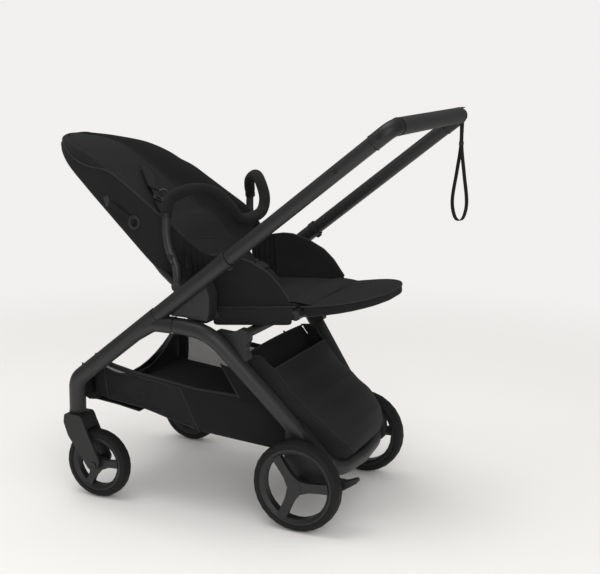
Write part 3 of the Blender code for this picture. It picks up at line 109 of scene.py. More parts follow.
# Camera: place, lens in millimetres, and angles in degrees
CAMERA_PLACE, CAMERA_LENS = (1.2497, -2.3722, 1.0777), 67.38
CAMERA_AZIMUTH, CAMERA_ELEVATION, CAMERA_ROLL = 24.4544, 12.1588, 0.2447


def along_line(distance, side, away=0.0):
    """Point on a side's main line, measured down from the grip; away is outward along Y."""
    return Vector((HANDLE_X - math.cos(LINE_ANGLE) * distance, side * (TUBE_Y + away),
                   HANDLE_Z - math.sin(LINE_ANGLE) * distance))


def on_back(up, across, out):
    """Point of the back: up from the recline pivot, across it and out of its face."""
    return Vector((PIVOT_X - math.cos(BACK_ANGLE) * up + math.sin(BACK_ANGLE) * out, across,
                   PIVOT_Z + math.sin(BACK_ANGLE) * up + math.cos(BACK_ANGLE) * out))


def on_base(along, across, up):
    """Point of the seat's base, from the rear lower edge of its board."""
    return Vector((BASE_X + math.cos(BASE_SLOPE) * along - math.sin(BASE_SLOPE) * up, across,
                   BASE_Z + math.sin(BASE_SLOPE) * along + math.cos(BASE_SLOPE) * up))


def on_rest(along, across, up):
    """Point of the leg rest, from its hinge."""
    return Vector((HINGE_X + math.cos(REST_ANGLE) * along - math.sin(REST_ANGLE) * up, across,
                   HINGE_Z + math.sin(REST_ANGLE) * along + math.cos(REST_ANGLE) * up))


def on_rear_plane(down, across, out):
    """Point of the plane of the rear legs: down them, across and out to the rear."""
    x, z = ((low - top) / REAR_LENGTH for top, low in zip(REAR_TOP, REAR_LOW))
    return Vector((REAR_TOP[0] + x * down - z * out, across, REAR_TOP[1] + z * down + x * out))


def between(knots, at):
    """Value at a place on a broken line of (place, value) knots."""
    for (a, low), (b, high) in zip(knots, knots[1:]):
        if at <= b:
            share = min(max((at - a) / (b - a), 0.0), 1.0)
            return low + (high - low) * share
    return knots[-1][1]


def eased(knots, at):
    """As between, with each stretch eased in and out."""
    for (a, low), (b, high) in zip(knots, knots[1:]):
        if at <= b:
            share = min(max((at - a) / (b - a), 0.0), 1.0)
            return low + (high - low) * share * share * (3 - 2 * share)
    return knots[-1][1]


def smooth_run(knots, count):
    """Points of a smooth curve through the knots, evenly spaced along it."""
    knots = [Vector(k) for k in knots]
    ends = [2 * knots[0] - knots[1]] + knots + [2 * knots[-1] - knots[-2]]
    fine = []
    for a, b, c, d in zip(ends, ends[1:], ends[2:], ends[3:]):
        for step in range(24):
            t = step / 24
            fine.append(0.5 * ((2 * b) + (c - a) * t + (2 * a - 5 * b + 4 * c - d) * t * t
                               + (3 * b - 3 * c + d - a) * t ** 3))
    fine.append(knots[-1])
    lengths = [0.0]
    for a, b in zip(fine, fine[1:]):
        lengths.append(lengths[-1] + (b - a).length)
    points = []
    for step in range(count):
        goal = lengths[-1] * step / (count - 1)
        spot = next(i for i, reach in enumerate(lengths) if reach >= goal - 1e-12)
        if spot == 0:
            points.append(fine[0].copy())
            continue
        share = (goal - lengths[spot - 1]) / max(lengths[spot] - lengths[spot - 1], 1e-12)
        points.append(fine[spot - 1].lerp(fine[spot], share))
    return points


# Modelling with Blender's own operators

def deselect():
    """Leaves edit mode and deselects everything."""
    if bpy.context.object and bpy.context.object.mode != "OBJECT":
        bpy.ops.object.mode_set(mode="OBJECT")
    bpy.ops.object.select_all(action="DESELECT")


def pick(obj):
    """Makes one object the only selected one and the active one."""
    deselect()
    obj.select_set(True)
    bpy.context.view_layer.objects.active = obj


def added(name):
    """The primitive just added, named, with its place moved into its mesh."""
    obj = bpy.context.active_object
    obj.name = obj.data.name = name
    pick(obj)
    bpy.ops.object.transform_apply(location=True, rotation=True, scale=True)
    return obj


def modify(obj, kind, **settings):
    """Adds a modifier with its settings and applies it."""
    pick(obj)
    modifier = obj.modifiers.new(kind.title(), kind)
    for key, value in settings.items():
        setattr(modifier, key, value)
    bpy.ops.object.modifier_apply(modifier=modifier.name)
    return obj


def soften(obj, levels=1):
    """Rounds a form by subdividing it."""
    return modify(obj, "SUBSURF", levels=levels, render_levels=levels)


def smooth(obj, angle=38):
    """Shades smooth, with creases sharper than the angle in degrees kept."""
    pick(obj)
    bpy.ops.object.shade_smooth_by_angle(angle=math.radians(angle))
    return obj


def select_faces(obj, chosen):
    """Goes into edit mode with the faces picked for which chosen(centre, normal) is true."""
    pick(obj)
    bpy.ops.object.mode_set(mode="EDIT")
    bpy.ops.mesh.select_mode(type="FACE")
    bpy.ops.mesh.select_all(action="DESELECT")
    shape = bmesh.from_edit_mesh(obj.data)
    for face in shape.faces:
        face.select_set(chosen(face.calc_center_median(), face.normal))
    bmesh.update_edit_mesh(obj.data)


def tidy_mesh(obj, fill=False):
    """Joins doubled corners, closes open ends if asked, and turns the faces outward."""
    pick(obj)
    bpy.ops.object.mode_set(mode="EDIT")
    bpy.ops.mesh.select_mode(type="VERT")
    bpy.ops.mesh.select_all(action="SELECT")
    bpy.ops.mesh.remove_doubles(threshold=0.00002)
    if fill:
        bpy.ops.mesh.fill_holes(sides=0)
    bpy.ops.mesh.select_all(action="SELECT")
    bpy.ops.mesh.normals_make_consistent(inside=False)
    bpy.ops.object.mode_set(mode="OBJECT")


def patch(name, columns, rows, place, size=(1.0, 1.0)):
    """Grid put in place by (across, along), each 0 to 1; its UV map is in metres."""
    deselect()
    bpy.ops.mesh.primitive_grid_add(x_subdivisions=columns, y_subdivisions=rows, size=1)
    obj = bpy.context.active_object
    obj.name = obj.data.name = name
    for corner in obj.data.vertices:
        s = round((corner.co.x + 0.5) * columns) / columns
        t = round((corner.co.y + 0.5) * rows) / rows
        corner.co = place(s, t)
    for spot in obj.data.uv_layers.active.data:
        spot.uv = (spot.uv[0] * size[0], spot.uv[1] * size[1])
    return obj


def sewn(name, columns, rows, place, thickness, size, levels=1, offset=0.0):
    """Sheet of cloth with a thickness; size is that of its map."""
    obj = patch(name, columns, rows, place, size)
    modify(obj, "SOLIDIFY", thickness=thickness, offset=offset)
    if levels:
        soften(obj, levels)
    return smooth(obj)


def stuffed(name, columns, rows, place, size, levels=1):
    """Closed form whose sections run round it; its two ends are closed."""
    obj = patch(name, columns, rows, place, size)
    tidy_mesh(obj, fill=True)
    soften(obj, levels)
    return smooth(obj, 50)


def piping(name, points, radius, cyclic=False, sides=3):
    """Round cord or seam that follows the points."""
    deselect()
    bpy.ops.curve.primitive_bezier_curve_add()
    obj = bpy.context.active_object
    obj.name = obj.data.name = name
    curve = obj.data
    curve.splines.clear()
    curve.dimensions = "3D"
    run = curve.splines.new("POLY")
    run.points.add(len(points) - 1)
    for knot, point in zip(run.points, points):
        knot.co = (*point, 1.0)
    run.use_cyclic_u = cyclic
    curve.bevel_depth = radius
    curve.bevel_resolution = sides
    curve.use_fill_caps = not cyclic
    pick(obj)
    bpy.ops.object.convert(target="MESH")
    obj = bpy.context.active_object
    obj.name = obj.data.name = name
    return smooth(obj, 60)


def webbing(name, points, sideways, width, thickness):
    """Flat strap along the points; sideways is a direction or one for each point."""
    across = sideways if isinstance(sideways, list) else [sideways] * len(points)
    length = sum((b - a).length for a, b in zip(points, points[1:]))

    def place(s, t):
        at = round(t * (len(points) - 1))
        return points[at] + Vector(across[at]).normalized() * (s - 0.5) * width

    obj = patch(name, 2, len(points) - 1, place, (width, length))
    modify(obj, "SOLIDIFY", thickness=thickness, offset=0.0)
    modify(obj, "BEVEL", width=thickness * 0.3, segments=1, limit_method="ANGLE")
    return smooth(obj, 60)


def facing(axis):
    """Rotation that stands a primitive's own Z on an axis."""
    return Vector(axis).to_track_quat("Z", "Y").to_euler()


def cap(name, centre, axis, radius, depth, rim=0.25, dish=0.3, steps=28):
    """Turned cap or screw: a disc with a softened edge and a dished middle."""
    deselect()
    centre, axis = Vector(centre), Vector(axis).normalized()
    bpy.ops.mesh.primitive_cylinder_add(vertices=steps, radius=radius, depth=depth,
                                        location=centre + axis * depth / 2, rotation=facing(axis))
    obj = added(name)
    select_faces(obj, lambda spot, normal: normal.dot(axis) > 0.9)
    bpy.ops.mesh.inset(thickness=radius * rim, depth=0)
    bpy.ops.transform.translate(value=-axis * depth * dish)
    bpy.ops.mesh.inset(thickness=radius * rim * 0.5, depth=0)
    bpy.ops.object.mode_set(mode="OBJECT")
    modify(obj, "BEVEL", width=min(radius, depth) * 0.12, segments=2, limit_method="ANGLE")
    return smooth(obj, 45)


def ring(name, centre, axis, major, minor, flat=0.6):
    """Moulded ring, flattened along its axis."""
    deselect()
    centre, axis = Vector(centre), Vector(axis).normalized()
    bpy.ops.mesh.primitive_torus_add(major_radius=major, minor_radius=minor, major_segments=36,
                                     minor_segments=10, location=centre, rotation=facing(axis))
    obj = added(name)
    for corner in obj.data.vertices:
        rise = (corner.co - centre).dot(axis)
        corner.co -= axis * rise * (1 - flat)
    return smooth(obj, 60)


def block(name, centre, axes, size, bevel, hollow=None):
    """Moulded block along three axes; hollow cuts a window through its third axis."""
    deselect()
    turn = Matrix([Vector(a).normalized() for a in axes]).transposed()
    bpy.ops.mesh.primitive_cube_add(size=1)
    obj = added(name)
    if hollow:
        select_faces(obj, lambda spot, normal: abs(normal.z) > 0.9)
        bpy.ops.mesh.inset(thickness=hollow, depth=0)
        bpy.ops.mesh.bridge_edge_loops()
        bpy.ops.object.mode_set(mode="OBJECT")
    for corner in obj.data.vertices:
        local = Vector((corner.co.x * size[0], corner.co.y * size[1], corner.co.z * size[2]))
        corner.co = Vector(centre) + turn @ local
    tidy_mesh(obj)
    modify(obj, "BEVEL", width=bevel, segments=2, limit_method="ANGLE")
    return smooth(obj, 45)


def dress(objects, finish, body, takes=()):
    """Gives pieces their finish, their body and the nodes that they stand for."""
    for obj in objects if isinstance(objects, (list, tuple)) else [objects]:
        obj.data.materials.clear()
        obj.data.materials.append(finish)
        if body:
            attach(obj, body)
    if takes:
        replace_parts(objects[0] if isinstance(objects, (list, tuple)) else objects, *takes)
    return objects


# Finishes

class Wire:
    """A shader value that adds Math nodes as it is worked with."""

    def __init__(self, shop, socket):
        self.shop, self.socket = shop, socket

    def maths(self, operation, other=None, swapped=False):
        values = [self] if other is None else [other, self] if swapped else [self, other]
        node = self.shop.node("ShaderNodeMath", {"operation": operation}, dict(enumerate(values)))
        return self.shop.wire(node)

    def __add__(self, other):
        return self.maths("ADD", other)

    def __sub__(self, other):
        return self.maths("SUBTRACT", other)

    def __rsub__(self, other):
        return self.maths("SUBTRACT", other, swapped=True)

    def __mul__(self, other):
        return self.maths("MULTIPLY", other)

    def __pow__(self, other):
        return self.maths("POWER", other)

    def __abs__(self):
        return self.maths("ABSOLUTE")

    __radd__ = __add__
    __rmul__ = __mul__

    def sine(self):
        return self.maths("SINE")

    def most(self, other):
        return self.maths("MAXIMUM", other)

    def ramp(self, low, high):
        """0 at low and 1 at high, held to that range and eased."""
        settings = {"interpolation_type": "SMOOTHSTEP"}
        node = self.shop.node("ShaderNodeMapRange", settings, {0: self, 1: low, 2: high})
        return self.shop.wire(node)


class Finish:
    """A material whose constants sit on its shader and whose nodes are made one at a time."""

    def __init__(self, name, colour, roughness, **constants):
        self.material = bpy.data.materials.new(name)
        self.material.use_nodes = True
        self.tree = self.material.node_tree
        self.shader = self.tree.nodes["Principled BSDF"]
        self.colour = (*colour, 1.0)
        self.set("Base Color", self.colour)
        self.set("Roughness", roughness)
        for key, value in constants.items():
            self.set(key.replace("_", " ").title().replace("Ior", "IOR"), value)

    def set(self, key, value):
        if isinstance(value, Wire):
            self.tree.links.new(value.socket, self.shader.inputs[key])
        else:
            self.shader.inputs[key].default_value = value

    def node(self, kind, settings, inputs):
        node = self.tree.nodes.new(kind)
        for key, value in settings.items():
            setattr(node, key, value)
        for key, value in inputs.items():
            if isinstance(value, Wire):
                self.tree.links.new(value.socket, node.inputs[key])
            else:
                node.inputs[key].default_value = value
        return node

    def wire(self, node, output=0):
        return Wire(self, node.outputs[output])

    def place(self, source="Object"):
        """X, Y and Z of the piece's own coordinates, or of its map."""
        where = self.node("ShaderNodeTexCoord", {}, {})
        parts = self.node("ShaderNodeSeparateXYZ", {}, {0: self.wire(where, source)})
        return [self.wire(parts, i) for i in range(3)]

    def vector(self):
        return self.wire(self.node("ShaderNodeTexCoord", {}, {}), "Object")

    def noise(self, scale, detail=3.0):
        settings = {"noise_dimensions": "3D"}
        inputs = {"Vector": self.vector(), "Scale": scale, "Detail": detail}
        return self.wire(self.node("ShaderNodeTexNoise", settings, inputs))

    def cells(self, scale):
        inputs = {"Vector": self.vector(), "Scale": scale}
        return self.wire(self.node("ShaderNodeTexVoronoi", {"feature": "F1"}, inputs))

    def tint(self, factor, other):
        """Base colour that goes to another one as the factor rises."""
        settings = {"data_type": "RGBA"}
        node = self.node("ShaderNodeMix", settings, {0: factor, 6: self.colour, 7: (*other, 1.0)})
        self.set("Base Color", self.wire(node, 2))

    def relief(self, height, distance, strength=1.0):
        inputs = {"Height": height, "Distance": distance, "Strength": strength}
        self.set("Normal", self.wire(self.node("ShaderNodeBump", {}, inputs)))


def shade(colour, factor):
    """A lighter or darker colour of the same hue."""
    return tuple(min(1.0, c * factor) for c in colour)


def paint(name, colour):
    """Fine matt powder paint."""
    finish = Finish(name, colour, 0.46, specular_ior_level=0.5)
    speck = finish.noise(900.0, 4.0)
    finish.set("Roughness", 0.42 + speck * 0.12)
    finish.relief(speck, 0.00012, 0.5)
    return finish.material


def moulding(name, colour, roughness=0.5):
    """Moulded plastic with a fine spark-eroded grain."""
    finish = Finish(name, colour, roughness, specular_ior_level=0.5)
    grain = finish.noise(1500.0, 2.0)
    finish.set("Roughness", roughness - 0.05 + grain * 0.12)
    finish.relief(grain, 0.00010, 0.6)
    return finish.material


def tyre_rubber(name, colour, wheel, side):
    """Matt foam rubber with two grooves and cross cuts round the tread."""
    x0, radius, y0, width = wheel
    finish = Finish(name, colour, 0.72, specular_ior_level=0.35)
    x, y, z = finish.place()
    dx, dz = x - x0, z - radius
    reach = (dx * dx + dz * dz) ** 0.5
    tread = reach.ramp(radius - 0.0045, radius - 0.0030)
    off = abs(y - side * y0)
    grooves = 1 - abs(off - width * 0.17).ramp(0.0008, 0.0016)
    turn = finish.wire(finish.node("ShaderNodeMath", {"operation": "ARCTAN2"}, {0: dz, 1: dx}))
    cuts = (1 - abs((turn * 36.0).sine()).ramp(0.10, 0.22)) * off.ramp(width * 0.2, width * 0.24)
    pores = finish.noise(1100.0, 3.0)
    finish.relief(pores * 0.12 - tread * grooves.most(cuts), 0.0011, 0.9)
    finish.set("Roughness", 0.66 + pores * 0.16)
    return finish.material


def leather(name, colour):
    """Grained grip cover with a stitched seam under it."""
    finish = Finish(name, colour, 0.55, specular_ior_level=0.5)
    x, _, z = finish.place()
    grain = finish.cells(620.0)
    seam = (1 - abs(x - HANDLE_X).ramp(0.0006, 0.0014)) * (1 - (z - HANDLE_Z).ramp(-0.004, 0.0))
    finish.set("Roughness", 0.48 + grain * 0.25)
    finish.relief(grain * 0.45 - seam * 1.5, 0.00045, 0.8)
    return finish.material


def weave(name, colour, pitch=0.0011, rough=0.88, seams=None, lift=1.35, ribs=False):
    """Woven cloth; seams(u, v) gives stitched lines where it is 1."""
    finish = Finish(name, colour, rough, specular_ior_level=0.10, sheen_weight=0.03,
                    sheen_roughness=0.5)
    u, v, _ = finish.place("UV")
    turn = math.tau / pitch
    if ribs:
        threads = (u * turn).sine() * 0.5 + (v * turn * 0.5).sine() * 0.5
    else:
        threads = (u * turn).sine() * (v * turn).sine()
    flecks = finish.noise(420.0, 3.0)
    broad = finish.noise(9.0, 2.0)
    mix = (flecks * 0.6 + broad * 0.7 - 0.35).ramp(0.0, 1.0)
    finish.tint(mix, shade(colour, lift))
    height = threads * 0.5 + flecks * 0.4
    if seams:
        height = height * 0.5 - seams(u, v) * 4.0
    finish.relief(height, 0.00035, 0.8)
    return finish.material


NET_PITCH = 0.0011


def net(name, colour):
    """Fine open net: threads with holes between them."""
    finish = Finish(name, colour, 0.8, specular_ior_level=0.2)
    u, v, _ = finish.place("UV")
    turn = math.tau / NET_PITCH
    holes = ((u * turn).sine() * (v * turn).sine()).ramp(-0.9, 0.9)
    finish.set("Alpha", 0.80 - holes * 0.36)
    return finish.material


def steel(name, colour):
    """Brushed pins and rivets."""
    finish = Finish(name, colour, 0.38, metallic=1.0)
    finish.set("Roughness", 0.32 + finish.noise(700.0) * 0.15)
    return finish.material


def backdrop(name, colour, inner, outer):
    """Pale floor that takes the shadow and fades into the background far from the object."""
    finish = Finish(name, colour, 0.9, specular_ior_level=0.0)
    x, y, _ = finish.place()
    reach = ((x * x) + (y * y)) ** 0.5
    finish.set("Alpha", 1 - reach.ramp(inner, outer))
    return finish.material


MADE = {}


def finish_of(key):
    """A finish by its plain name, made the first time that it is asked for."""
    if key not in MADE:
        colours = bpy.context.scene.pushchair_finishes
        makers = {
            "paint": lambda: paint("painted tube", colours.paint),
            "moulding": lambda: moulding("moulded plastic", colours.plastic),
            "sleeve": lambda: moulding("bumper sleeve plastic", shade(colours.plastic, 1.9), 0.42),
            "dark": lambda: moulding("recess plastic", shade(colours.plastic, 0.35), 0.6),
            "plate": lambda: moulding("hub plate plastic", shade(colours.plastic, 2.6), 0.4),
            "grip": lambda: leather("grip cover", colours.grip),
            "cloth": lambda: weave("seat cloth", colours.cloth),
            "lining": lambda: weave("lining cloth", shade(colours.cloth, 0.82), 0.0014),
            "binding": lambda: weave("binding tape", shade(colours.cloth, 2.0), 0.0009),
            "basket": lambda: weave("basket cloth", shade(colours.cloth, 0.95), 0.0015),
            "bag": lambda: weave("bag cloth", shade(colours.cloth, 1.35), 0.0015, seams=bag_seams),
            "back": lambda: weave("back cover cloth", colours.cloth, seams=back_seams),
            "webbing": lambda: weave("strap webbing", shade(colours.cloth, 0.9), 0.0020,
                                     ribs=True),
            "net": lambda: net("window net", shade(colours.cloth, 1.5)),
            "steel": lambda: steel("satin steel", (0.45, 0.45, 0.46)),
        }
        MADE[key] = makers[key]()
    return MADE[key]


def line_mask(distance, half=0.0009):
    """1 on a stitched line and 0 away from it."""
    return 1 - abs(distance).ramp(half * 0.4, half * 1.6)


def back_seams(u, v):
    """Seams on the back's face: beside the head insert, across its foot and at the waist."""
    side = abs(u)
    insert = line_mask(side - 0.088 + (v - 0.40) * 0.12) * v.ramp(0.235, 0.245)
    head = line_mask(v - 0.405 + side * side * 4.5) * (1 - side.ramp(0.083, 0.087))
    waist = line_mask(v - 0.235 + u * 0.25)
    low = line_mask(v - 0.150 + u * 0.22)
    front = 1 - v.ramp(0.9, 1.0)
    return insert.most(head).most(waist).most(low) * front


def bag_seams(_, v):
    """Seam across the bag's face."""
    return line_mask(v - 0.119, 0.0012)


# Forms of the soft goods

# Back, by height over the recline pivot: half width of its face, height of its rim, flare of
# its walls, height of its face and depth of its rear
BACK_WIDTH = ((0.012, 0.149), (0.030, 0.149), (0.085, 0.152), (0.105, 0.166), (0.125, 0.173),
              (0.155, 0.174), (0.20, 0.167), (0.30, 0.1505), (0.43, 0.129), (0.47, 0.1225),
              (0.50, 0.1135), (0.53, 0.0975), (0.555, 0.0765), (0.573, 0.052), (0.587, 0.024))
BACK_RIM = ((0.012, -0.002), (0.030, 0.004), (0.085, 0.012), (0.105, 0.050), (0.120, 0.082),
            (0.150, 0.085), (0.24, 0.077), (0.30, 0.072), (0.355, 0.066), (0.41, 0.059), (0.45, 0.050),
            (0.48, 0.039), (0.505, 0.027), (0.53, 0.015), (0.555, 0.003), (0.573, -0.006),
            (0.587, -0.012))
BACK_FLARE = ((0.012, 0.0), (0.125, 0.002), (0.155, 0.006), (0.24, 0.013), (0.33, 0.021),
              (0.41, 0.023), (0.45, 0.019), (0.48, 0.014), (0.53, 0.006), (0.587, 0.0))
BACK_FACE = ((0.012, 0.004), (0.030, 0.012), (0.060, 0.017), (0.158, 0.0175), (0.176, 0.0255),
             (0.222, 0.0255), (0.240, 0.0185), (0.44, 0.019), (0.50, 0.0155), (0.53, 0.009),
             (0.555, 0.001), (0.573, -0.007), (0.587, -0.013))
BACK_REAR = ((0.012, 0.010), (0.060, 0.020), (0.100, 0.0275), (0.565, 0.0285), (0.587, 0.026))
OFF_FACE = 2.0
BACK_ROWS = (0.012, 0.020, 0.030, 0.045, 0.070, 0.085, 0.100, 0.112, 0.125, 0.145, 0.165, 0.180,
             0.20, 0.218, 0.229, 0.240, 0.26, 0.29, 0.32, 0.35, 0.38, 0.41, 0.435, 0.46, 0.48,
             0.50, 0.518, 0.535, 0.550, 0.562, 0.573, 0.581, 0.587)


def seam_of_back(up, side):
    """Place of the binding: on the crest of the side, and on its flank round the head."""
    share = min(max((up - 0.34) / 0.13, 0.0), 1.0)
    at = 9.5 + 3.1 * share * share * (3 - 2 * share)
    section = half_section(up)
    low, high = section[int(at)], section[int(at) + 1]
    across, out = (a + (b - a) * (at - int(at)) for a, b in zip(low, high))
    return on_back(up, side * across, out + 0.0005)


def half_section(up):
    """Half of the back's section, from the middle of its face round to its rear."""
    w, h = between(BACK_WIDTH, up), between(BACK_RIM, up)
    flare, face, rear = between(BACK_FLARE, up), between(BACK_FACE, up), between(BACK_REAR, up)
    top = w + flare
    sink = 0.003 * min(1.0, max(0.0, h) / 0.06)
    belly = 0.0115 + 0.005 * min(1.0, max(0.0, (0.50 - up) / 0.12))
    return [(0.0, face), (0.20 * w, face), (0.40 * w, face), (0.60 * w, face - 0.0005),
            (0.78 * w, face - 0.002), (0.90 * w, face - 0.004 - sink),
            (w - 0.003, face + 0.26 * (h - face)), (w + 0.25 * flare, face + 0.62 * (h - face)),
            (w + 0.75 * flare, face + 0.92 * (h - face)), (top + 0.002, h + 0.0015),
            (top + 0.0085, h - 0.0005), (top + 0.0095, h - 0.14 * abs(h) - 0.002),
            (w + belly + 0.6 * flare, (h + 0.5 * rear) * 0.62 - 0.5 * rear),
            (w + belly + 0.2 * flare, (h + 0.5 * rear) * 0.25 - 0.5 * rear),
            (w + belly, -0.55 * rear), (w + 0.6 * belly, -0.98 * rear),
            (0.86 * w, -1.07 * rear), (0.5 * w, -1.05 * rear), (0.0, -1.03 * rear)]


def make_back_cover():
    """Padded bucket of the back with its bound rim."""
    last = len(half_section(0.3)) - 1
    columns = 2 * last

    def place(s, t):
        up = BACK_ROWS[round(t * (len(BACK_ROWS) - 1))]
        section = half_section(up)
        at = round(s * columns)
        side = 1 if at <= last else -1
        across, out = section[at if at <= last else columns - at]
        return on_back(up, side * across, out)

    cover = patch("back_cover", columns, len(BACK_ROWS) - 1, place)
    spots = cover.data.uv_layers.active.data
    for loop in cover.data.loops:
        local = cover.data.vertices[loop.vertex_index].co - Vector((PIVOT_X, 0, PIVOT_Z))
        up = -local.x * math.cos(BACK_ANGLE) + local.z * math.sin(BACK_ANGLE)
        spots[loop.index].uv = (local.y, up)

    def depth(point):
        return (point.x - PIVOT_X) * math.sin(BACK_ANGLE) + (point.z - PIVOT_Z) * math.cos(BACK_ANGLE)

    for face in cover.data.polygons:
        steep = abs(face.normal.y) > 0.5
        for index in face.loop_indices:
            if steep:
                corner = cover.data.vertices[cover.data.loops[index].vertex_index]
                spots[index].uv[0] = depth(corner.co)
            if steep or depth(face.center) < -0.01:
                spots[index].uv[1] += OFF_FACE
    tidy_mesh(cover, fill=True)
    soften(cover, 2)
    smooth(cover, 60)
    run = [seam_of_back(up, -1) for up in BACK_ROWS[8:-1:2]]
    tip = on_back(0.5895, 0, -0.018)
    run += [tip + Vector((0, -0.016, 0)), tip + Vector((0, 0.016, 0))]
    run += [seam_of_back(up, 1) for up in BACK_ROWS[-2:7:-2]]
    binding = piping("back_binding", smooth_run(run, 170), 0.0023)
    return cover, binding


def make_back_details():
    """Side rings, their straps and slots, on the outer faces of the bucket."""
    rings, straps, slots = [], [], []
    for side, word in SIDES:
        across = Vector((0, side, 0))
        wide = between(BACK_WIDTH, 0.245) + 0.0165 + 0.35 * between(BACK_FLARE, 0.245)
        spot = on_back(0.245, side * (wide + 0.0030), 0.021)
        rings.append(ring("side_ring_" + word, spot, across, 0.0132, 0.0038))
        slot_wide = between(BACK_WIDTH, 0.333) + 0.0185
        low = on_back(0.333, side * (slot_wide + 0.0030), 0.004)
        middle = on_back(0.293, side * (wide - 0.001), 0.012)
        straps.append(webbing("side_strap_" + word, smooth_run([low, middle, spot], 12),
                              on_back(0.02, 0, 0.08) - on_back(0, 0, 0), 0.016, 0.0016))
        slots.append(block("side_slot_" + word, on_back(0.338, side * (slot_wide + 0.0010), 0.004),
                           (on_back(0.85, 0, 0.5) - on_back(0, 0, 0),
                            on_back(-0.5, 0, 0.85) - on_back(0, 0, 0), across),
                           (0.024, 0.019, 0.0035), 0.0012))
    return rings, straps, slots


def make_harness():
    """Shoulder straps with pads, sliders and rings on the back's face."""
    straps, pads, hardware = [], [], []
    runs = {
        "right": ((0.428, 0.071, 0.012), (0.400, 0.060, 0.0225), (0.343, 0.012, 0.028),
                  (0.300, -0.022, 0.032), (0.262, -0.052, 0.029), (0.215, -0.060, 0.022)),
        "left": ((0.428, -0.075, 0.012), (0.400, -0.079, 0.0225), (0.343, -0.088, 0.026),
                 (0.300, -0.092, 0.026), (0.262, -0.102, 0.024), (0.215, -0.106, 0.022)),
    }
    face = on_back(0, 0, 1) - on_back(0, 0, 0)
    for side, word in SIDES:
        run = smooth_run([on_back(u, y, o) for u, y, o in runs[word]], 40)
        sideways = []
        for index in range(len(run)):
            ahead = run[min(index + 1, len(run) - 1)] - run[max(index - 1, 0)]
            sideways.append(ahead.cross(face).normalized())
        straps.append(webbing("shoulder_strap_cover_" + word, run, sideways, 0.019, 0.0018))
        first, count = 5, 17
        spine = run[first:first + count]

        def place(s, t, spine=spine, sideways=sideways[first:]):
            at = round(t * (len(spine) - 1))
            swell = math.sqrt(max(0.0, 1 - (2 * t - 1) ** 6))
            angle = s * math.tau
            wide = math.copysign(abs(math.cos(angle)) ** 0.6, math.cos(angle)) * 0.0165
            thick = math.copysign(abs(math.sin(angle)) ** 0.8, math.sin(angle)) * 0.0042
            return (spine[at] + sideways[at] * wide * (0.85 + 0.15 * swell)
                    + face * (thick * (0.35 + 0.65 * swell) + 0.0016))

        pads.append(stuffed("strap_pad_" + word, 16, len(spine) - 1, place, (0.06, 0.11)))
        slider, loop = 27, 22
        along = (run[slider + 1] - run[slider - 1]).normalized()
        hardware.append(block("strap_slider_" + word, run[slider] + face * 0.0020,
                              (sideways[slider], along, face), (0.027, 0.016, 0.0045), 0.0010,
                              0.22))
        hook = run[loop] + sideways[loop] * (-0.022 if side > 0 else 0.020) + face * 0.001
        hardware.append(ring("strap_ring_" + word, hook, (face + Vector((0, -1.2, 0))), 0.0125,
                             0.0036))
    return straps, pads, hardware


def make_buckle():
    """Crotch strap, the buckle and the two waist straps that lie on the seat."""
    up = on_base(0, 0, 1) - on_base(0, 0, 0)
    along = on_base(1, 0, 0) - on_base(0, 0, 0)
    root = 0.085
    across = Vector((0, 1, 0))
    run = smooth_run([on_base(root, 0, 0.030), on_base(root - 0.005, 0, 0.050),
                      on_base(root - 0.018, 0, 0.068), on_base(root - 0.032, 0, 0.078)], 12)
    strap = webbing("crotch_strap", run, across, 0.026, 0.0022)
    top, ahead = run[-1], (run[-1] - run[-3]).normalized()
    axes = (across, ahead, ahead.cross(across))
    head = block("buckle_head", top + ahead * 0.010, axes, (0.040, 0.030, 0.011), 0.0036)
    button = cap("buckle_button", top + ahead * 0.012 + axes[2] * 0.0055, axes[2], 0.0085, 0.0024)
    tongues, waist = [], []
    for side, word in SIDES:
        beside = across * side * 0.012
        tongues.append(block("buckle_tongue_" + word, top + ahead * 0.026 + beside, axes,
                             (0.014, 0.022, 0.005), 0.0012))
        path = smooth_run([top + ahead * 0.030 + beside,
                           on_base(0.030, side * 0.040, 0.080), on_base(0.018, side * 0.090, 0.052),
                           on_base(0.012, side * 0.128, 0.042), on_base(0.008, side * 0.147, 0.041)],
                          24)
        waist.append(webbing("waist_strap_" + word, path, along + up * 0.4, 0.019, 0.0018))
    return strap, head, button, tongues, waist


def pillow(name, plan, place_on, low, high, crown, rim, dish):
    """Panel with a flat rim and a crowned top; plan runs along one side from rear to front.

    dish(along, level) lowers or lifts it, with level 0 at its underside and 1 at its rim.
    """
    outline = [(a, -w) for a, w in plan] + [(a, w) for a, w in plan[-2::-1]]
    middle = (sum(a for a, _ in outline) / len(outline), 0.0)
    layers = [(0.02, high + crown), (0.35, high + crown * 0.93), (0.62, high + crown * 0.72),
              (0.84, high + crown * 0.38), (0.95, high + crown * 0.05), (0.985, high - 0.001),
              (1.0, high - rim * 0.16), (1.0, high - rim * 0.5), (0.995, low + rim * 0.15),
              (0.975, low), (0.90, low - 0.0002), (0.5, low), (0.02, low)]
    count = len(outline)

    def place(s, t):
        a, w = outline[round(s * count) % count]
        factor, height = layers[round(t * (len(layers) - 1))]
        along = middle[0] + (a - middle[0]) * factor
        across = w * factor
        level = (height - low) / (high - low)
        return place_on(along, across, height + dish(along, level))

    obj = patch(name, count, len(layers) - 1, place, (0.9, 0.4))
    spots = obj.data.uv_layers.active.data
    for index, loop in enumerate(obj.data.loops):
        spot = obj.data.vertices[loop.vertex_index].co
        spots[index].uv = (spot.y, spot.x)
    tidy_mesh(obj, fill=True)
    soften(obj)
    return smooth(obj, 55), outline


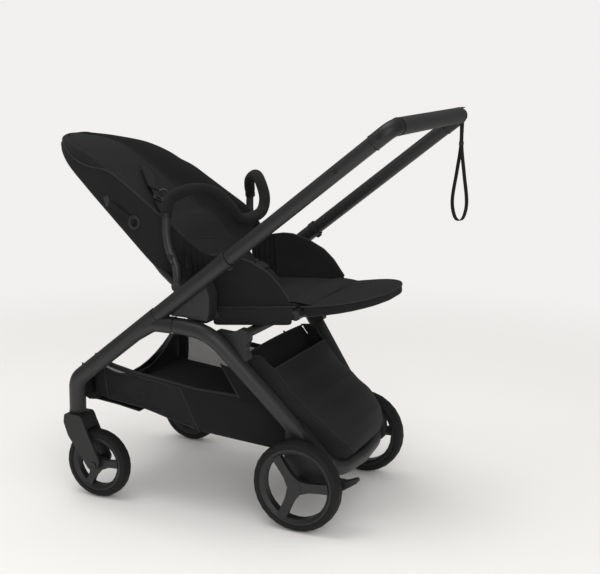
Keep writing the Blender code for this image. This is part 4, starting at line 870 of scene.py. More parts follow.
def make_seat_pad():
    """Cushion between the wings, thinner toward its front edge."""
    low = BOARD_THICKNESS + 0.0003
    high = low + 0.0235
    steps = 12
    plan = [(0.004, 0.02), (0.004, 0.10), (0.004, 0.146), (0.010, 0.1518)]
    plan += [(0.010 + (BASE_LENGTH - 0.012) * i / steps, 0.1520) for i in range(1, steps)]
    plan += [(BASE_LENGTH + 0.006, 0.1525), (BASE_LENGTH + 0.012, 0.150),
             (BASE_LENGTH + 0.0145, 0.10), (BASE_LENGTH + 0.0145, 0.02)]

    def dish(along, level):
        return -0.0085 * level * (max(0.0, along) / BASE_LENGTH) ** 1.4

    pad, _ = pillow("seat_pad_cover", plan, on_base, low, high, 0.0060, 0.024, dish)
    return pad


# Top edge of a wing, as (along the base, height over it)
WING_CREST = ((0.0, 0.137), (0.030, 0.139), (0.056, 0.136), (0.10, 0.1185), (0.1375, 0.0957),
              (0.162, 0.0690), (0.177, 0.0440), (0.187, 0.0270))


def wing_top(share):
    """Height of a wing's top edge over the base, from its rear end to its front end."""
    return between(WING_CREST, share * (BASE_LENGTH - 0.002))


def make_wings():
    """Padded side wings with a bound top edge and a piped foot."""
    wings, bindings, bands, pipes = [], [], [], []
    run = BASE_LENGTH - 0.002
    for side, word in SIDES:
        def place(s, t, side=side):
            angle = t * math.tau
            reach = wing_top(s)
            foot = 0.004
            rise = foot + (reach - foot) * (0.5 - 0.5 * math.cos(angle)) ** 0.86
            belly = 0.0052 * math.sin(math.pi * min(1.0, s * 1.1 + 0.1)) * min(1.0, reach / 0.06)
            thick = math.copysign(abs(math.sin(angle)) ** 0.55, math.sin(angle)) * 0.0042
            level = rise / max(reach, 0.01)
            bow = belly * math.sin(math.pi * min(1.0, max(0.0, level)))
            lean = 0.006 * level * (1 - s)
            return on_base(0.002 + s * run, side * (WING_Y + thick * min(1, reach / 0.02) + bow
                                                    + lean), rise)

        wing = patch("wing_cover_" + word, 26, 20, place, (run, 0.28))
        tidy_mesh(wing, fill=True)
        soften(wing)
        wings.append(smooth(wing, 55))
        edge = []
        for index in range(40):
            s = index / 39
            edge.append(on_base(0.002 + s * run, side * (WING_Y + 0.006 * (1 - s)),
                                max(wing_top(s) + 0.0004, 0.022)))
        bindings.append(piping("wing_binding_" + word, edge, 0.0024))

        def band_place(s, t, side=side):
            flare = min(1.0, (1 - t) / 0.6)
            return on_base(s * (BASE_LENGTH + 0.012),
                           side * (WING_Y + 0.0052 + 0.0190 * flare * flare * (3 - 2 * flare)),
                           -0.0210 + t * 0.0375)

        bands.append(sewn("base_band_" + word, 10, 3, band_place, CLOTH, (0.19, 0.026)))
        foot = [on_base(s / 20 * (BASE_LENGTH + 0.014), side * (WING_Y + 0.0062), 0.0168)
                for s in range(21)]
        pipes.append(piping("base_piping_" + word, foot, 0.0020))
    return wings, bindings, bands, pipes


def make_gussets():
    """Pleated cloth between the back's sides and the wings."""
    pieces = []
    for side, word in SIDES:
        def place(s, t, side=side):
            up = 0.030 + 0.094 * t ** 0.75
            outer = on_back(up, side * (between(BACK_WIDTH, up) + 0.009), -0.022 + t * 0.104)
            inner = on_base(0.012, side * (WING_Y + 0.0045), -0.004 + t * 0.138)
            pleat = abs(math.sin(s * math.pi * 5)) ** 0.8
            depth = 0.0070 * pleat * math.sin(math.pi * (0.10 + 0.84 * t))
            sag = 0.007 * math.sin(math.pi * s) * t * t
            spot = outer.lerp(inner, s)
            return spot + Vector((0, side * (depth - 0.003 * math.sin(math.pi * s)), -sag))

        pieces.append(sewn("gusset_cover_" + word, 50, 12, place, LINING, (0.20, 0.13)))
    return pieces


def make_leg_rest():
    """Padded leg rest with a deep rim and piping round its top edge."""
    low, high = -0.0085, 0.0140
    plan = [(0.004, 0.02), (0.004, 0.10), (0.0045, 0.146)]
    steps = 26
    for index in range(1, steps + 1):
        t = math.sin(index / steps * math.pi / 2)
        share = max(0.0, (t - 0.30) / 0.715)
        wide = 0.1540 * math.sqrt(max(0.0, 1 - share ** 2.4))
        plan.append((0.004 + 0.1715 * t, max(wide, 0.006)))

    def dish(along, level):
        return level * (0.0028 - 0.0060 * along / REST_LENGTH)

    pad, outline = pillow("leg_rest_cover", plan, on_rest, low, high, 0.0045, 0.022, dish)
    edge = [on_rest(a, w, high - 0.0012 + dish(a, 1.0)) for a, w in outline[2:-2]]
    edge = smooth_run([edge[i] for i in range(0, len(edge), 2)] + [edge[-1]], 150)
    middle = on_rest(0.08, 0, high)
    edge = [point + (point - middle).normalized() * 0.0008 for point in edge]
    return pad, piping("leg_rest_piping", edge, 0.0019)


def make_seat_flap():
    """Part of the one-piece cover that runs from the cushion onto the leg rest."""
    def place(s, t):
        across = (2 * s - 1) * 0.1475
        crown = 1 - (2 * s - 1) ** 2
        near = on_base(0.176, across, 0.0262 + 0.0052 * crown)
        far = on_rest(0.030, across, 0.0160 + 0.0036 * crown)
        middle = on_base(BASE_LENGTH + 0.016, across, 0.0238 + 0.0050 * crown)
        share = (1 - t) ** 2, 2 * t * (1 - t), t * t
        return near * share[0] + (middle + Vector((0, 0, 0.0010))) * share[1] + far * share[2]

    return sewn("seat_flap", 24, 12, place, LINING, (0.295, 0.09))


def bumper_run():
    """Points along the middle of the bumper bar's cover, from its right foot to its left."""
    x, z = BUMPER_HUB
    half = [(x - 0.0274, BUMPER_Y, z + 0.1638), (x - 0.0225, 0.197, z + 0.1985),
            (x + 0.0120, 0.162, z + 0.2175), (x + 0.0470, 0.118, z + 0.2080),
            (x + 0.0730, 0.090, z + 0.1720), (x + 0.0790, 0.060, z + 0.1420),
            (x + 0.0790, 0.0, z + 0.1345)]
    return smooth_run(half + [(a, -b, c) for a, b, c in half[-2::-1]], 90)


def make_bumper():
    """Padded cloth cover of the bumper bar, its seam and its two cuffs."""
    run = bumper_run()
    count = len(run)

    def place(s, t):
        at = round(t * (count - 1))
        ahead = (run[min(at + 1, count - 1)] - run[max(at - 1, 0)]).normalized()
        side = ahead.cross(Vector((0, 0, 1))).normalized()
        up = side.cross(ahead)
        ends = min(1.0, min(t, 1 - t) / 0.02)
        radius = 0.0118 + 0.0022 * ends
        angle = s * math.tau
        return run[at] + (side * math.cos(angle) + up * math.sin(angle)) * radius

    cover = stuffed("bumper_cover", 18, count - 1, place, (0.09, 0.62))
    seam = []
    for at in range(2, count - 2):
        ahead = (run[at + 1] - run[at - 1]).normalized()
        side = ahead.cross(Vector((0, 0, 1))).normalized()
        seam.append(run[at] + side.cross(ahead) * -0.0134 + side * 0.002)
    stitch = piping("bumper_seam", seam, 0.0009, sides=2)
    cuffs = []
    for end in (0, count - 1):
        step = 1 if end == 0 else -1
        ahead = (run[end + step] - run[end]).normalized()
        cuffs.append(piping("bumper_cuff_" + ("right" if end == 0 else "left"),
                            [run[end] - ahead * 0.0075, run[end] - ahead * 0.003,
                             run[end] + ahead * 0.0025], 0.0128, sides=6))
    return cover, stitch, cuffs


# Basket: heights of its top edge and its floor along x, its half widths, and how far round
# its section the floor reaches
BASKET_TOP = ((-0.290, 0.352), (-0.232, 0.329), (-0.165, 0.316), (0.0, 0.297), (0.126, 0.282),
              (0.220, 0.288))
BASKET_LOW = ((-0.290, 0.236), (-0.149, 0.2225), (-0.007, 0.188), (0.158, 0.158), (0.300, 0.148))
BASKET_FRONT, BASKET_HALF, BASKET_REAR_HALF = -0.280, 0.1985, 0.143
BASKET_FLOOR = 0.42
TUB_MAP = (0.62, 0.46)

# Window of the basket's sides: share round the section, then share along the tub
WINDOW = (0.025, 0.275, 2 / 34, 18 / 34)

# Front edge of the basket's side flaps, as (x, z)
FLAP_TOP, FLAP_LOW = (0.047, 0.356), (0.107, 0.286)


def basket_section(x, share):
    """Point of the tub's section: 0 is the left hem, 0.5 the middle of the floor."""
    away = abs(2 * share - 1)
    side = -1 if share < 0.5 else 1
    rear = min(max(x / 0.20, 0.0), 1.0)
    half = BASKET_HALF + (BASKET_REAR_HALF - BASKET_HALF) * rear
    top, low = between(BASKET_TOP, x), between(BASKET_LOW, x)
    if away < BASKET_FLOOR:
        return side * half * 0.94 * away / BASKET_FLOOR, low
    rise = (away - BASKET_FLOOR) / (1 - BASKET_FLOOR)
    bulge = 1 - 0.06 * (1 - rise) ** 3
    return side * half * bulge, low + (top - low) * rise


def basket_spot(share, t):
    """Point of the tub: share round its section, and t from its front to the rear legs."""
    front, end = BASKET_FRONT, 0.200
    for _ in range(6):
        y, z = basket_section(front + t * (end - front), share)
        fall = (REAR_TOP[1] - z) / (REAR_TOP[1] - REAR_LOW[1])
        end = REAR_TOP[0] + (REAR_LOW[0] - REAR_TOP[0]) * fall - 0.0215
    return Vector((front + t * (end - front), y, z))


def cut_windows(tub):
    """Takes the cloth out of the two window openings, found by the sheet's own map."""
    pick(tub)
    bpy.ops.object.mode_set(mode="EDIT")
    bpy.ops.mesh.select_mode(type="FACE")
    bpy.ops.mesh.select_all(action="DESELECT")
    shape = bmesh.from_edit_mesh(tub.data)
    layer = shape.loops.layers.uv.active
    for face in shape.faces:
        u, v = (sum(loop[layer].uv[i] for loop in face.loops) / len(face.loops) for i in (0, 1))
        share, along = min(u / TUB_MAP[0], 1 - u / TUB_MAP[0]), v / TUB_MAP[1]
        face.select_set(WINDOW[0] < share < WINDOW[1] and WINDOW[2] < along < WINDOW[3])
    bmesh.update_edit_mesh(tub.data)
    bpy.ops.mesh.delete(type="FACE")
    bpy.ops.object.mode_set(mode="OBJECT")


def window_edge(side):
    """Closed run of points round a side's window."""
    low, high, front, rear = WINDOW
    steps = 12
    corners = [(low, front), (high, front), (high, rear), (low, rear)]
    run = []
    for (s0, t0), (s1, t1) in zip(corners, corners[1:] + corners[:1]):
        for i in range(steps):
            share, t = s0 + (s1 - s0) * i / steps, t0 + (t1 - t0) * i / steps
            run.append(basket_spot(share if side < 0 else 1 - share, t))
    return run


def make_basket():
    """Tub of the basket with its bound hem, and the front wall between the legs."""
    tub = patch("basket_tub_cover", 40, 34, basket_spot, TUB_MAP)
    cut_windows(tub)
    modify(tub, "SOLIDIFY", thickness=CLOTH, offset=0.0)
    smooth(soften(tub))
    nets, lap = [], (0.006, 0.010)
    for side, word in SIDES:
        def net_place(s, t, side=side):
            share = WINDOW[0] - lap[0] + (WINDOW[1] - WINDOW[0] + 2 * lap[0]) * s
            along = WINDOW[2] - lap[1] + (WINDOW[3] - WINDOW[2] + 2 * lap[1]) * t
            return basket_spot(share if side < 0 else 1 - share, along)

        nets.append(sewn("basket_net_" + word, 12, 24, net_place, 0.0008, (0.12, 0.34), 0))
        nets.append(piping("basket_window_edge_" + word, window_edge(side), 0.0021, True))
    hems = []
    for side, word in SIDES:
        share = 0.0 if side < 0 else 1.0
        edge = smooth_run([basket_spot(share, t / 16) for t in range(17)], 60)
        hems.append(piping("basket_hem_" + word, edge, 0.0030))

    def front_place(s, t):
        side = 2 * s - 1
        low = between(BASKET_LOW, BASKET_FRONT + 0.001)
        top = 0.250 + 0.080 * side * side
        bow = 0.006 * math.sin(math.pi * t)
        return Vector((BASKET_FRONT + 0.0005 - bow, side * BASKET_HALF * 0.985,
                       low + (top - low) * t))

    front = sewn("basket_front", 24, 8, front_place, CLOTH, (0.39, 0.10))
    edge = smooth_run([front_place(s / 12, 1.0) for s in range(13)], 40)
    hems.append(piping("basket_hem_front", edge, 0.0028))
    flaps = []
    for side, word in SIDES:
        def flap_place(s, t, side=side):
            high = Vector((FLAP_TOP[0], side * 0.170, FLAP_TOP[1]))
            low = Vector((FLAP_LOW[0], side * 0.190, FLAP_LOW[1]))
            front = high.lerp(low, t)
            down = 0.112 + 0.096 * t
            rear = on_rear_plane(down, side * (leg_gap(down) - 0.001), -0.0130)
            return front.lerp(rear, s)

        flaps.append(sewn("basket_flap_" + word, 8, 8, flap_place, CLOTH, (0.10, 0.13)))
        edge = [flap_place(0.0, i / 12) for i in range(13)]
        hems.append(piping("basket_flap_edge_" + word, edge, 0.0022))
    return tub, front, hems, nets, flaps


# Bag, by distance down the rear legs: out of their plane at its edge and at its crown, and
# half width; then its mouth, its foot and the top of its inner wall
BAG_EDGE = ((0.143, 0.026), (0.200, 0.026), (0.253, 0.036), (0.319, 0.048), (0.370, 0.054),
            (0.395, 0.048), (0.406, 0.034))
BAG_CROWN = ((0.143, 0.030), (0.200, 0.052), (0.260, 0.080), (0.310, 0.097), (0.350, 0.094),
             (0.380, 0.078), (0.398, 0.056), (0.406, 0.038))
BAG_HALF = ((0.080, 0.150), (0.143, 0.147), (0.250, 0.146), (0.310, 0.141), (0.355, 0.130),
            (0.385, 0.112), (0.400, 0.094), (0.406, 0.082))
BAG_MOUTH, BAG_FOOT, BAG_WALL_TOP = 0.143, 0.406, 0.074


def leg_gap(down):
    """Half the room between the rear legs, measured down them."""
    return TUBE_Y - REAR_LEAN * down - REAR_R - 0.004


def bag_section(down):
    """Half of the bag's section, from its inner seam beside a leg to the middle of its face."""
    wide, edge, crown = (eased(k, down) for k in (BAG_HALF, BAG_EDGE, BAG_CROWN))
    gap = min(leg_gap(down), wide + 0.012)
    rows = [(gap, -0.0105), (gap, 0.006), (min(gap, wide + 0.006), 0.022),
            (wide + 0.0015, edge - 0.004), (wide - 0.002, edge + 0.0015)]
    for share in (0.93, 0.84, 0.70, 0.52, 0.34, 0.17, 0.0):
        rows.append((wide * share, edge + (crown - edge) * (1 - share ** 2.3) + 0.002))
    return rows


def make_bag():
    """Rear bag of the basket: a full face that closes onto the inner wall."""
    last = len(bag_section(0.2)) - 1

    def face_place(s, t):
        at = round(s * 2 * last)
        side, at = (-1, at) if at <= last else (1, 2 * last - at)
        lift = min(at, 4) / 4
        down = 0.076 + (BAG_MOUTH - 0.076) * lift ** 1.3
        down += (BAG_FOOT - down) * t
        across, out = bag_section(down)[at]
        return on_rear_plane(down, side * across, out)

    face = sewn("bag_face", 2 * last, 30, face_place, CLOTH, (0.36, 0.30))

    def floor_place(s, t):
        side = 2 * s - 1
        wide = 0.082 + 0.010 * math.sin(math.pi * t)
        out = 0.037 - 0.0475 * t
        down = BAG_FOOT - 0.034 * t ** 0.8 - 0.004 * math.sin(math.pi * t)
        out -= 0.006 * side * side * (1 - t)
        return on_rear_plane(down, side * wide, out)

    floor = sewn("bag_floor", 12, 8, floor_place, CLOTH, (0.17, 0.06))

    def wall_place(s, t):
        side = 2 * s - 1
        top = BAG_WALL_TOP + 0.004 * side * side
        at = top + (0.374 - top) * t
        wide = min(leg_gap(at), eased(BAG_HALF, at) + 0.012) + 0.0014
        return on_rear_plane(at, side * wide, -0.0112)

    wall = sewn("bag_inner_wall", 20, 16, wall_place, CLOTH, (0.32, 0.27))
    edges = [piping("bag_edge", smooth_run([face_place(i / 22, 0.0) for i in range(23)], 90),
                    0.0024),
             piping("bag_wall_edge", smooth_run([wall_place(i / 16, 0.0) for i in range(17)], 40),
                    0.0024)]
    for side, word in SIDES:
        run = []
        for i in range(40):
            down = BAG_MOUTH + (BAG_FOOT - 0.001 - BAG_MOUTH) * i / 39
            across, out = bag_section(down)[4]
            run.append(on_rear_plane(down, side * across, out + 0.0008))
        edges.append(piping("bag_piping_" + word, run, 0.0018))
    return face, wall, floor, edges


def make_wrist_strap():
    """Webbing loop that hangs from the right elbow, with its stitched neck."""
    neck, widest, bottom, loop = 0.062, 0.195, 0.2440, 0.0235
    pitch, top = 0.0011, HANDLE_Z - 0.010
    apart, across = Vector((0.893, -0.450, 0)), Vector((0.450, 0.893, 0))
    shape = [(pitch, 0.0), (pitch, neck), (loop * 0.50, neck + 0.065), (loop, widest),
             (loop * 0.66, bottom - 0.011), (0.0, bottom)]
    hang = Vector((HANDLE_X, TUBE_Y, top))
    right = [hang + apart * x - Vector((0, 0, z)) for x, z in shape]
    left = [hang - apart * x - Vector((0, 0, z)) for x, z in shape[-2::-1]]
    strap = webbing("wrist_strap_cover", smooth_run(right + left, 120), across, 0.012, 0.0015)
    keeper = block("wrist_strap_keeper", hang - Vector((0, 0, neck - 0.004)),
                   (apart, across, (0, 0, 1)), (0.0048, 0.0130, 0.008), 0.0008)
    return strap, keeper


def make_trims():
    """Screws, caps, rings and plates that show on the frame, as (pieces, finish, body, slot)."""
    trims = []
    line = Vector((math.cos(LINE_ANGLE), 0, math.sin(LINE_ANGLE)))
    over = Vector((-math.sin(LINE_ANGLE), 0, math.cos(LINE_ANGLE)))
    for side, word in SIDES:
        outward = Vector((0, side, 0))
        screws = [cap("handle_screw_" + word, along_line(0.150, side, HANDLE_TUBE_R - 0.0006),
                      outward, 0.0042, 0.0016),
                  cap("elbow_screw_" + word, along_line(0.030, side, HANDLE_TUBE_R + 0.0006),
                      outward, 0.0048, 0.0016)]
        trims.append((screws, "dark", "handle", "moulding"))
        cuff = ring("elbow_seam_" + word, along_line(0.052, side), line, HANDLE_TUBE_R + 0.0009,
                    0.0011, 0.8)
        trims.append(([cuff], "dark", "handle", "moulding"))
        grip_seam = ring("grip_seam_" + word, (HANDLE_X, side * GRIP_END, HANDLE_Z), outward,
                         HANDLE_TUBE_R + 0.0016, 0.0011, 0.8)
        trims.append(([grip_seam], "dark", "handle", "moulding"))
        press = block("collar_key_" + word, along_line(COLLAR_FROM_GRIP + 0.008, side)
                      - over * 0.0212, (line, (0, 1, 0), over), (0.012, 0.010, 0.0050), 0.0014)
        lip = ring("collar_lip_" + word, along_line(COLLAR_FROM_GRIP + 0.0005, side), line,
                   0.0188, 0.0014, 0.8)
        trims.append(([press, lip], "moulding", "chassis", "moulding"))
        split = ring("arch_ring_" + word, (SPLIT_X, side * TUBE_Y, ARCH_Z), (1, 0, 0),
                     LEG_R - 0.0007, 0.0011, 0.7)
        trims.append(([split], "dark", "chassis", "moulding"))
        hub_x, hub_z = BUMPER_HUB
        plate = cap("hub_plate_" + word, (hub_x, side * (BUMPER_Y + 0.0082), hub_z), outward,
                    0.0110, 0.0024)
        trims.append(([plate], "plate", "bumper", "moulding"))
        screw = cap("sleeve_screw_" + word, (hub_x - 0.0095, side * (BUMPER_Y + 0.0088),
                                            hub_z + 0.052), outward, 0.0030, 0.0014)
        trims.append(([screw], "dark", "bumper", "moulding"))
        tab = block("sleeve_tab_" + word, (hub_x - 0.0035, side * (BUMPER_Y + 0.0092),
                                          hub_z + 0.028), ((0.2, 0, 1), (1, 0, -0.2), (0, 1, 0)),
                    (0.010, 0.0045, 0.0022), 0.0006)
        trims.append(([tab], "plate", "bumper", "moulding"))
        for kind, wheel in (("rear", REAR_WHEEL), ("front", FRONT_WHEEL)):
            x, radius, y, width = wheel
            body = kind + "_wheel_" + word
            if kind == "rear":
                face = side * (y + 0.0072)
                hub = cap("rear_hub_cap_" + word, (x, face, radius), outward, 0.0170, 0.0050,
                          0.18, 0.35)
                trims.append(([hub], "moulding", body, "moulding"))
            lips = [ring(kind + "_rim_lip_" + word + flank, (x, side * y + step, radius),
                         (0, 1, 0), radius - RIM_INSET - 0.0010, 0.0012, 0.9)
                    for flank, step in (("_a", width * 0.34), ("_b", -width * 0.34))]
            trims.append((lips, "moulding", body, "moulding"))
        fork_y = FRONT_WHEEL[3] / 2 + 0.003 + 0.0075
        axle = [cap("front_axle_cap_" + word + flank, (FRONT_WHEEL[0], side * FOOT_Y + way * (
            fork_y - 0.0003), FRONT_WHEEL[1]), (0, way, 0), 0.0085, 0.0030)
            for flank, way in (("_a", 1), ("_b", -1))]
        trims.append((axle, "moulding", "caster_" + word, "moulding"))
        foot = ring("foot_ring_" + word, (FOOT_X, side * FOOT_Y, FOOT_Z + 0.0030), (0, 0, 1),
                    LEG_R - 0.0006, 0.0018, 0.8)
        trims.append(([foot], "moulding", "chassis", "moulding"))
    slot = block("strap_slot", (HANDLE_X, TUBE_Y, HANDLE_Z + HANDLE_TUBE_R + 0.0004),
                 ((1, 0, 0), (0, 1, 0), (0, 0, 1)), (0.010, 0.016, 0.0020), 0.0009)
    trims.append(([slot], "dark", "handle", "moulding"))
    return trims


# Operators, settings and panel

class PUSHCHAIR_PG_finishes(bpy.types.PropertyGroup):
    """Colours of the finishes."""
    paint: bpy.props.FloatVectorProperty(
        name="Paint", description="Colour of the painted tubes", subtype="COLOR",
        default=(0.0140, 0.0140, 0.0143), min=0.0, max=1.0)
    plastic: bpy.props.FloatVectorProperty(
        name="Plastic", description="Colour of the moulded pieces", subtype="COLOR",
        default=(0.0105, 0.0105, 0.0108), min=0.0, max=1.0)
    rubber: bpy.props.FloatVectorProperty(
        name="Rubber", description="Colour of the tyres", subtype="COLOR",
        default=(0.0050, 0.0050, 0.0052), min=0.0, max=1.0)
    grip: bpy.props.FloatVectorProperty(
        name="Grip", description="Colour of the grip's cover", subtype="COLOR",
        default=(0.0240, 0.0240, 0.0245), min=0.0, max=1.0)
    cloth: bpy.props.FloatVectorProperty(
        name="Cloth", description="Colour of the seat, basket and bag", subtype="COLOR",
        default=(0.0125, 0.0125, 0.0128), min=0.0, max=1.0)


class PUSHCHAIR_PG_stage(bpy.types.PropertyGroup):
    """Floor, background and lights."""
    floor: bpy.props.FloatVectorProperty(
        name="Floor", description="Colour of the floor and background", subtype="COLOR",
        default=(0.886, 0.875, 0.862), min=0.0, max=1.0)
    floor_size: bpy.props.FloatProperty(
        name="Floor size", description="Half the width of the floor", default=3.2, min=1.0,
        unit="LENGTH")
    key_power: bpy.props.FloatProperty(
        name="Key light", description="Power of the large light over the front", default=27.0,
        min=0.0, unit="POWER")
    fill_power: bpy.props.FloatProperty(
        name="Fill light", description="Power of the light beside the camera", default=30.0,
        min=0.0, unit="POWER")
    gloss: bpy.props.FloatProperty(
        name="Reflected sky", description="Strength of the background in reflections",
        default=0.26, min=0.0)
    sky: bpy.props.FloatProperty(
        name="Sky", description="Strength of the light from all round", default=0.83, min=0.0)


class PUSHCHAIR_OT_stage(bpy.types.Operator):
    """Floor, background, lights and camera."""
    bl_idname = "pushchair.stage"
    bl_label = "Set the stage"

    def execute(self, context):
        options = context.scene.pushchair_stage
        scene = context.scene
        scene.view_settings.view_transform = "Standard"
        deselect()
        bpy.ops.mesh.primitive_circle_add(vertices=64, radius=options.floor_size,
                                          fill_type="NGON", location=(0, 0, -0.0006))
        floor = added("floor")
        floor.data.materials.append(backdrop("floor", options.floor, 1.15, 2.6))
        world = bpy.data.worlds.new("studio")
        scene.world = world
        world.use_nodes = True
        tree = world.node_tree
        back = tree.nodes["Background"]
        back.inputs["Color"].default_value = (*options.floor, 1.0)
        path = tree.nodes.new("ShaderNodeLightPath")
        seen = tree.nodes.new("ShaderNodeMath")
        seen.operation = "MAXIMUM"
        tree.links.new(path.outputs["Is Camera Ray"], seen.inputs[0])
        tree.links.new(path.outputs["Is Transmission Ray"], seen.inputs[1])
        level = tree.nodes.new("ShaderNodeMapRange")
        tree.links.new(path.outputs["Is Glossy Ray"], level.inputs["Value"])
        level.inputs["To Min"].default_value = options.sky
        level.inputs["To Max"].default_value = options.gloss
        strength = tree.nodes.new("ShaderNodeMath")
        strength.operation = "MAXIMUM"
        tree.links.new(level.outputs[0], strength.inputs[0])
        tree.links.new(seen.outputs[0], strength.inputs[1])
        tree.links.new(strength.outputs[0], back.inputs["Strength"])
        self.lamp("key", (-0.45, -0.35, 2.9), (0.0, 0.0, 0.45), 1.7, options.key_power)
        self.lamp("fill", (1.6, -2.6, 1.5), (0.0, 0.0, 0.45), 2.2, options.fill_power)
        self.camera(scene)
        return {"FINISHED"}

    def lamp(self, name, place, target, size, power):
        deselect()
        turn = (Vector(target) - Vector(place)).to_track_quat("-Z", "Y").to_euler()
        bpy.ops.object.light_add(type="AREA", location=place, rotation=turn)
        light = bpy.context.active_object
        light.name = name
        light.data.shape = "DISK"
        light.data.size = size
        light.data.energy = power

    def camera(self, scene):
        azimuth, elevation, roll = (math.radians(angle) for angle in (
            CAMERA_AZIMUTH, CAMERA_ELEVATION, CAMERA_ROLL))
        ahead = Vector((-math.sin(azimuth) * math.cos(elevation),
                        math.cos(azimuth) * math.cos(elevation), -math.sin(elevation)))
        right = Vector((math.cos(azimuth), math.sin(azimuth), 0.0))
        up = right.cross(ahead)
        right, up = (right * math.cos(roll) + up * math.sin(roll),
                     up * math.cos(roll) - right * math.sin(roll))
        deselect()
        bpy.ops.object.camera_add(location=CAMERA_PLACE)
        camera = bpy.context.active_object
        camera.rotation_mode = "QUATERNION"
        camera.rotation_quaternion = Matrix((right, up, -ahead)).transposed().to_quaternion()
        camera.data.sensor_width = 36.0
        camera.data.lens = CAMERA_LENS
        camera.data.clip_start = 0.05
        scene.camera = camera


class PUSHCHAIR_OT_frame(bpy.types.Operator):
    """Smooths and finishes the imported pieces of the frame."""
    bl_idname = "pushchair.frame"
    bl_label = "Finish the frame"

    def execute(self, context):
        rubber = context.scene.pushchair_finishes.rubber
        tyres = {"rear_tyre_left": (REAR_WHEEL, -1), "rear_tyre_right": (REAR_WHEEL, 1),
                 "front_tyre_left": (FRONT_WHEEL, -1), "front_tyre_right": (FRONT_WHEEL, 1)}
        slots = {part["node"]: part["material_slot"] for part in frame["record"]["subparts"]}
        finishes = {"painted_tube": "paint", "moulding": "moulding", "grip": "grip",
                    "cloth": "lining", "pin": "steel"}
        for name, node in frame["nodes"].items():
            node.data.shade_smooth()
            weld = node.modifiers.new("Weld", "WELD")
            weld.merge_threshold = 0.00001
            split = node.modifiers.new("Sharp edges", "EDGE_SPLIT")
            split.split_angle = math.radians(34)
            node.data.materials.clear()
            if name in tyres:
                finish = tyre_rubber(name.replace("_", " "), rubber, *tyres[name])
            elif name.startswith(("bumper_sleeve", "seat_mount")):
                finish = finish_of("sleeve")
            else:
                finish = finish_of(finishes[slots[name]])
            node.data.materials.append(finish)
        return {"FINISHED"}


class PUSHCHAIR_OT_back(bpy.types.Operator):
    """Cover of the back with its binding, side rings and straps."""
    bl_idname = "pushchair.back"
    bl_label = "Sew the back"

    def execute(self, context):
        cover, binding = make_back_cover()
        dress(cover, finish_of("back"), "backrest", ("backrest_shell", "back_pad"))
        dress(binding, finish_of("binding"), "backrest")
        rings, straps, slots = make_back_details()
        dress(rings, finish_of("moulding"), "backrest")
        dress(straps, finish_of("webbing"), "backrest")
        dress(slots, finish_of("plate"), "backrest")
        return {"FINISHED"}


class PUSHCHAIR_OT_harness(bpy.types.Operator):
    """Shoulder, waist and crotch straps with their buckle."""
    bl_idname = "pushchair.harness"
    bl_label = "Fit the harness"

    def execute(self, context):
        straps, pads, hardware = make_harness()
        dress(straps, finish_of("webbing"), "backrest",
              ("shoulder_strap_left", "shoulder_strap_right"))
        dress(pads, finish_of("cloth"), "backrest")
        for pad in pads:
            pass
        dress(hardware, finish_of("moulding"), "backrest")
        strap, head, button, tongues, waist = make_buckle()
        dress([strap] + waist, finish_of("webbing"), "chassis")
        dress([head, button] + tongues, finish_of("moulding"), "chassis",
              ("crotch_buckle",))
        return {"FINISHED"}


class PUSHCHAIR_OT_seat(bpy.types.Operator):
    """Seat cushion, wings, pleats and leg rest."""
    bl_idname = "pushchair.seat"
    bl_label = "Sew the seat"

    def execute(self, context):
        pad = make_seat_pad()
        dress(pad, finish_of("cloth"), "chassis", ("seat_pad",))
        wings, bindings, bands, pipes = make_wings()
        for (_, word), wing in zip(SIDES, wings):
            dress(wing, finish_of("cloth"), "chassis", ("seat_wing_" + word,))
        dress(bindings + pipes, finish_of("binding"), "chassis")
        dress(bands, finish_of("cloth"), "chassis")
        for (_, word), pleats in zip(SIDES, make_gussets()):
            dress(pleats, finish_of("lining"), None, ("seat_gusset_" + word,))
            on_back(0.110, 0, 0.056)
            on_base(0.012, 0, 0.090)
            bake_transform(pleats)
        flap = make_seat_flap()
        dress(flap, finish_of("cloth"), None)
        on_base(0.190, 0, 0.030)
        on_rest(0.018, 0, 0.018)
        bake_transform(flap)
        cover, edge = make_leg_rest()
        dress(cover, finish_of("cloth"), "leg_rest", ("leg_rest_pad",))
        dress(edge, finish_of("binding"), "leg_rest")
        return {"FINISHED"}


class PUSHCHAIR_OT_bumper(bpy.types.Operator):
    """Padded cover of the bumper bar."""
    bl_idname = "pushchair.bumper"
    bl_label = "Cover the bumper bar"

    def execute(self, context):
        cover, stitch, cuffs = make_bumper()
        dress(cover, finish_of("cloth"), "bumper", ("bumper_bar",))
        dress(stitch, finish_of("binding"), "bumper")
        dress(cuffs, finish_of("dark"), "bumper")
        return {"FINISHED"}


class PUSHCHAIR_OT_basket(bpy.types.Operator):
    """Tub and rear bag of the basket."""
    bl_idname = "pushchair.basket"
    bl_label = "Sew the basket"

    def execute(self, context):
        tub, front, hems, nets, flaps = make_basket()
        dress(tub, finish_of("basket"), None, ("basket_tub",))
        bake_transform(tub)
        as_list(hems[:2])
        dress(nets[::2], finish_of("net"), None)
        dress(nets[1::2], finish_of("binding"), None)
        for piece in nets:
            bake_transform(piece)
        for panel, edge in zip(nets[::2], nets[1::2]):
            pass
        dress(hems[:2], finish_of("binding"), None)
        for hem in hems[:2]:
            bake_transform(hem)
        dress([front, hems[2]], finish_of("basket"), "chassis")
        dress(flaps, finish_of("basket"), "rear_frame")
        dress(hems[3:], finish_of("binding"), "rear_frame")
        for flap, edge in zip(flaps, hems[3:]):
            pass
        face, wall, floor, edges = make_bag()
        dress([face, floor], finish_of("bag"), "rear_frame", ("basket_pouch",))
        dress(wall, finish_of("lining"), "rear_frame")
        dress(edges, finish_of("binding"), "rear_frame")
        return {"FINISHED"}


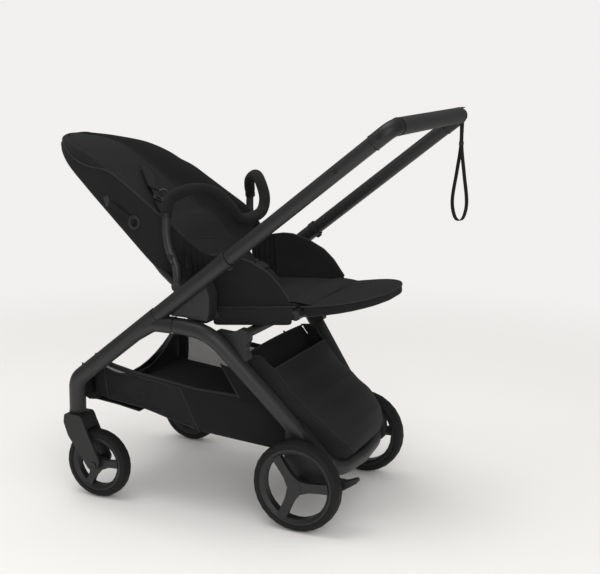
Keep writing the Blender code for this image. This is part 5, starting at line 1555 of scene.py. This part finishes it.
class PUSHCHAIR_OT_trims(bpy.types.Operator):
    """Wrist strap, screws, caps, rings and plates."""
    bl_idname = "pushchair.trims"
    bl_label = "Fit the trims"

    def execute(self, context):
        strap, keeper = make_wrist_strap()
        dress(strap, finish_of("webbing"), "handle", ("wrist_strap",))
        dress(keeper, finish_of("binding"), "handle")
        for pieces, finish, body, slot in make_trims():
            dress(pieces, finish_of(finish), body)
        return {"FINISHED"}


class PUSHCHAIR_PT_panel(bpy.types.Panel):
    """Buttons that make the pieces, and the colours and lights that they read."""
    bl_idname = "PUSHCHAIR_PT_panel"
    bl_label = "Pushchair"
    bl_space_type = "VIEW_3D"
    bl_region_type = "UI"
    bl_category = "Pushchair"

    def draw(self, context):
        column = self.layout.column(align=True)
        for operator in OPERATORS:
            column.operator(operator.bl_idname)
        for options in (context.scene.pushchair_finishes, context.scene.pushchair_stage):
            box = self.layout.box()
            for key in options.__annotations__:
                box.prop(options, key)


OPERATORS = (PUSHCHAIR_OT_stage, PUSHCHAIR_OT_frame, PUSHCHAIR_OT_back, PUSHCHAIR_OT_harness,
             PUSHCHAIR_OT_seat, PUSHCHAIR_OT_bumper, PUSHCHAIR_OT_basket, PUSHCHAIR_OT_trims)
CLASSES = (PUSHCHAIR_PG_finishes, PUSHCHAIR_PG_stage, *OPERATORS, PUSHCHAIR_PT_panel)


def register():
    for each in CLASSES:
        bpy.utils.register_class(each)
    bpy.types.Scene.pushchair_finishes = bpy.props.PointerProperty(type=PUSHCHAIR_PG_finishes)
    bpy.types.Scene.pushchair_stage = bpy.props.PointerProperty(type=PUSHCHAIR_PG_stage)


def unregister():
    del bpy.types.Scene.pushchair_stage
    del bpy.types.Scene.pushchair_finishes
    for each in reversed(CLASSES):
        bpy.utils.unregister_class(each)


def main():
    register()
    bpy.ops.pushchair.stage()
    bpy.ops.pushchair.frame()
    bpy.ops.pushchair.back()
    bpy.ops.pushchair.harness()
    bpy.ops.pushchair.seat()
    bpy.ops.pushchair.bumper()
    bpy.ops.pushchair.basket()
    bpy.ops.pushchair.trims()


if __name__ == "__main__":
    main()
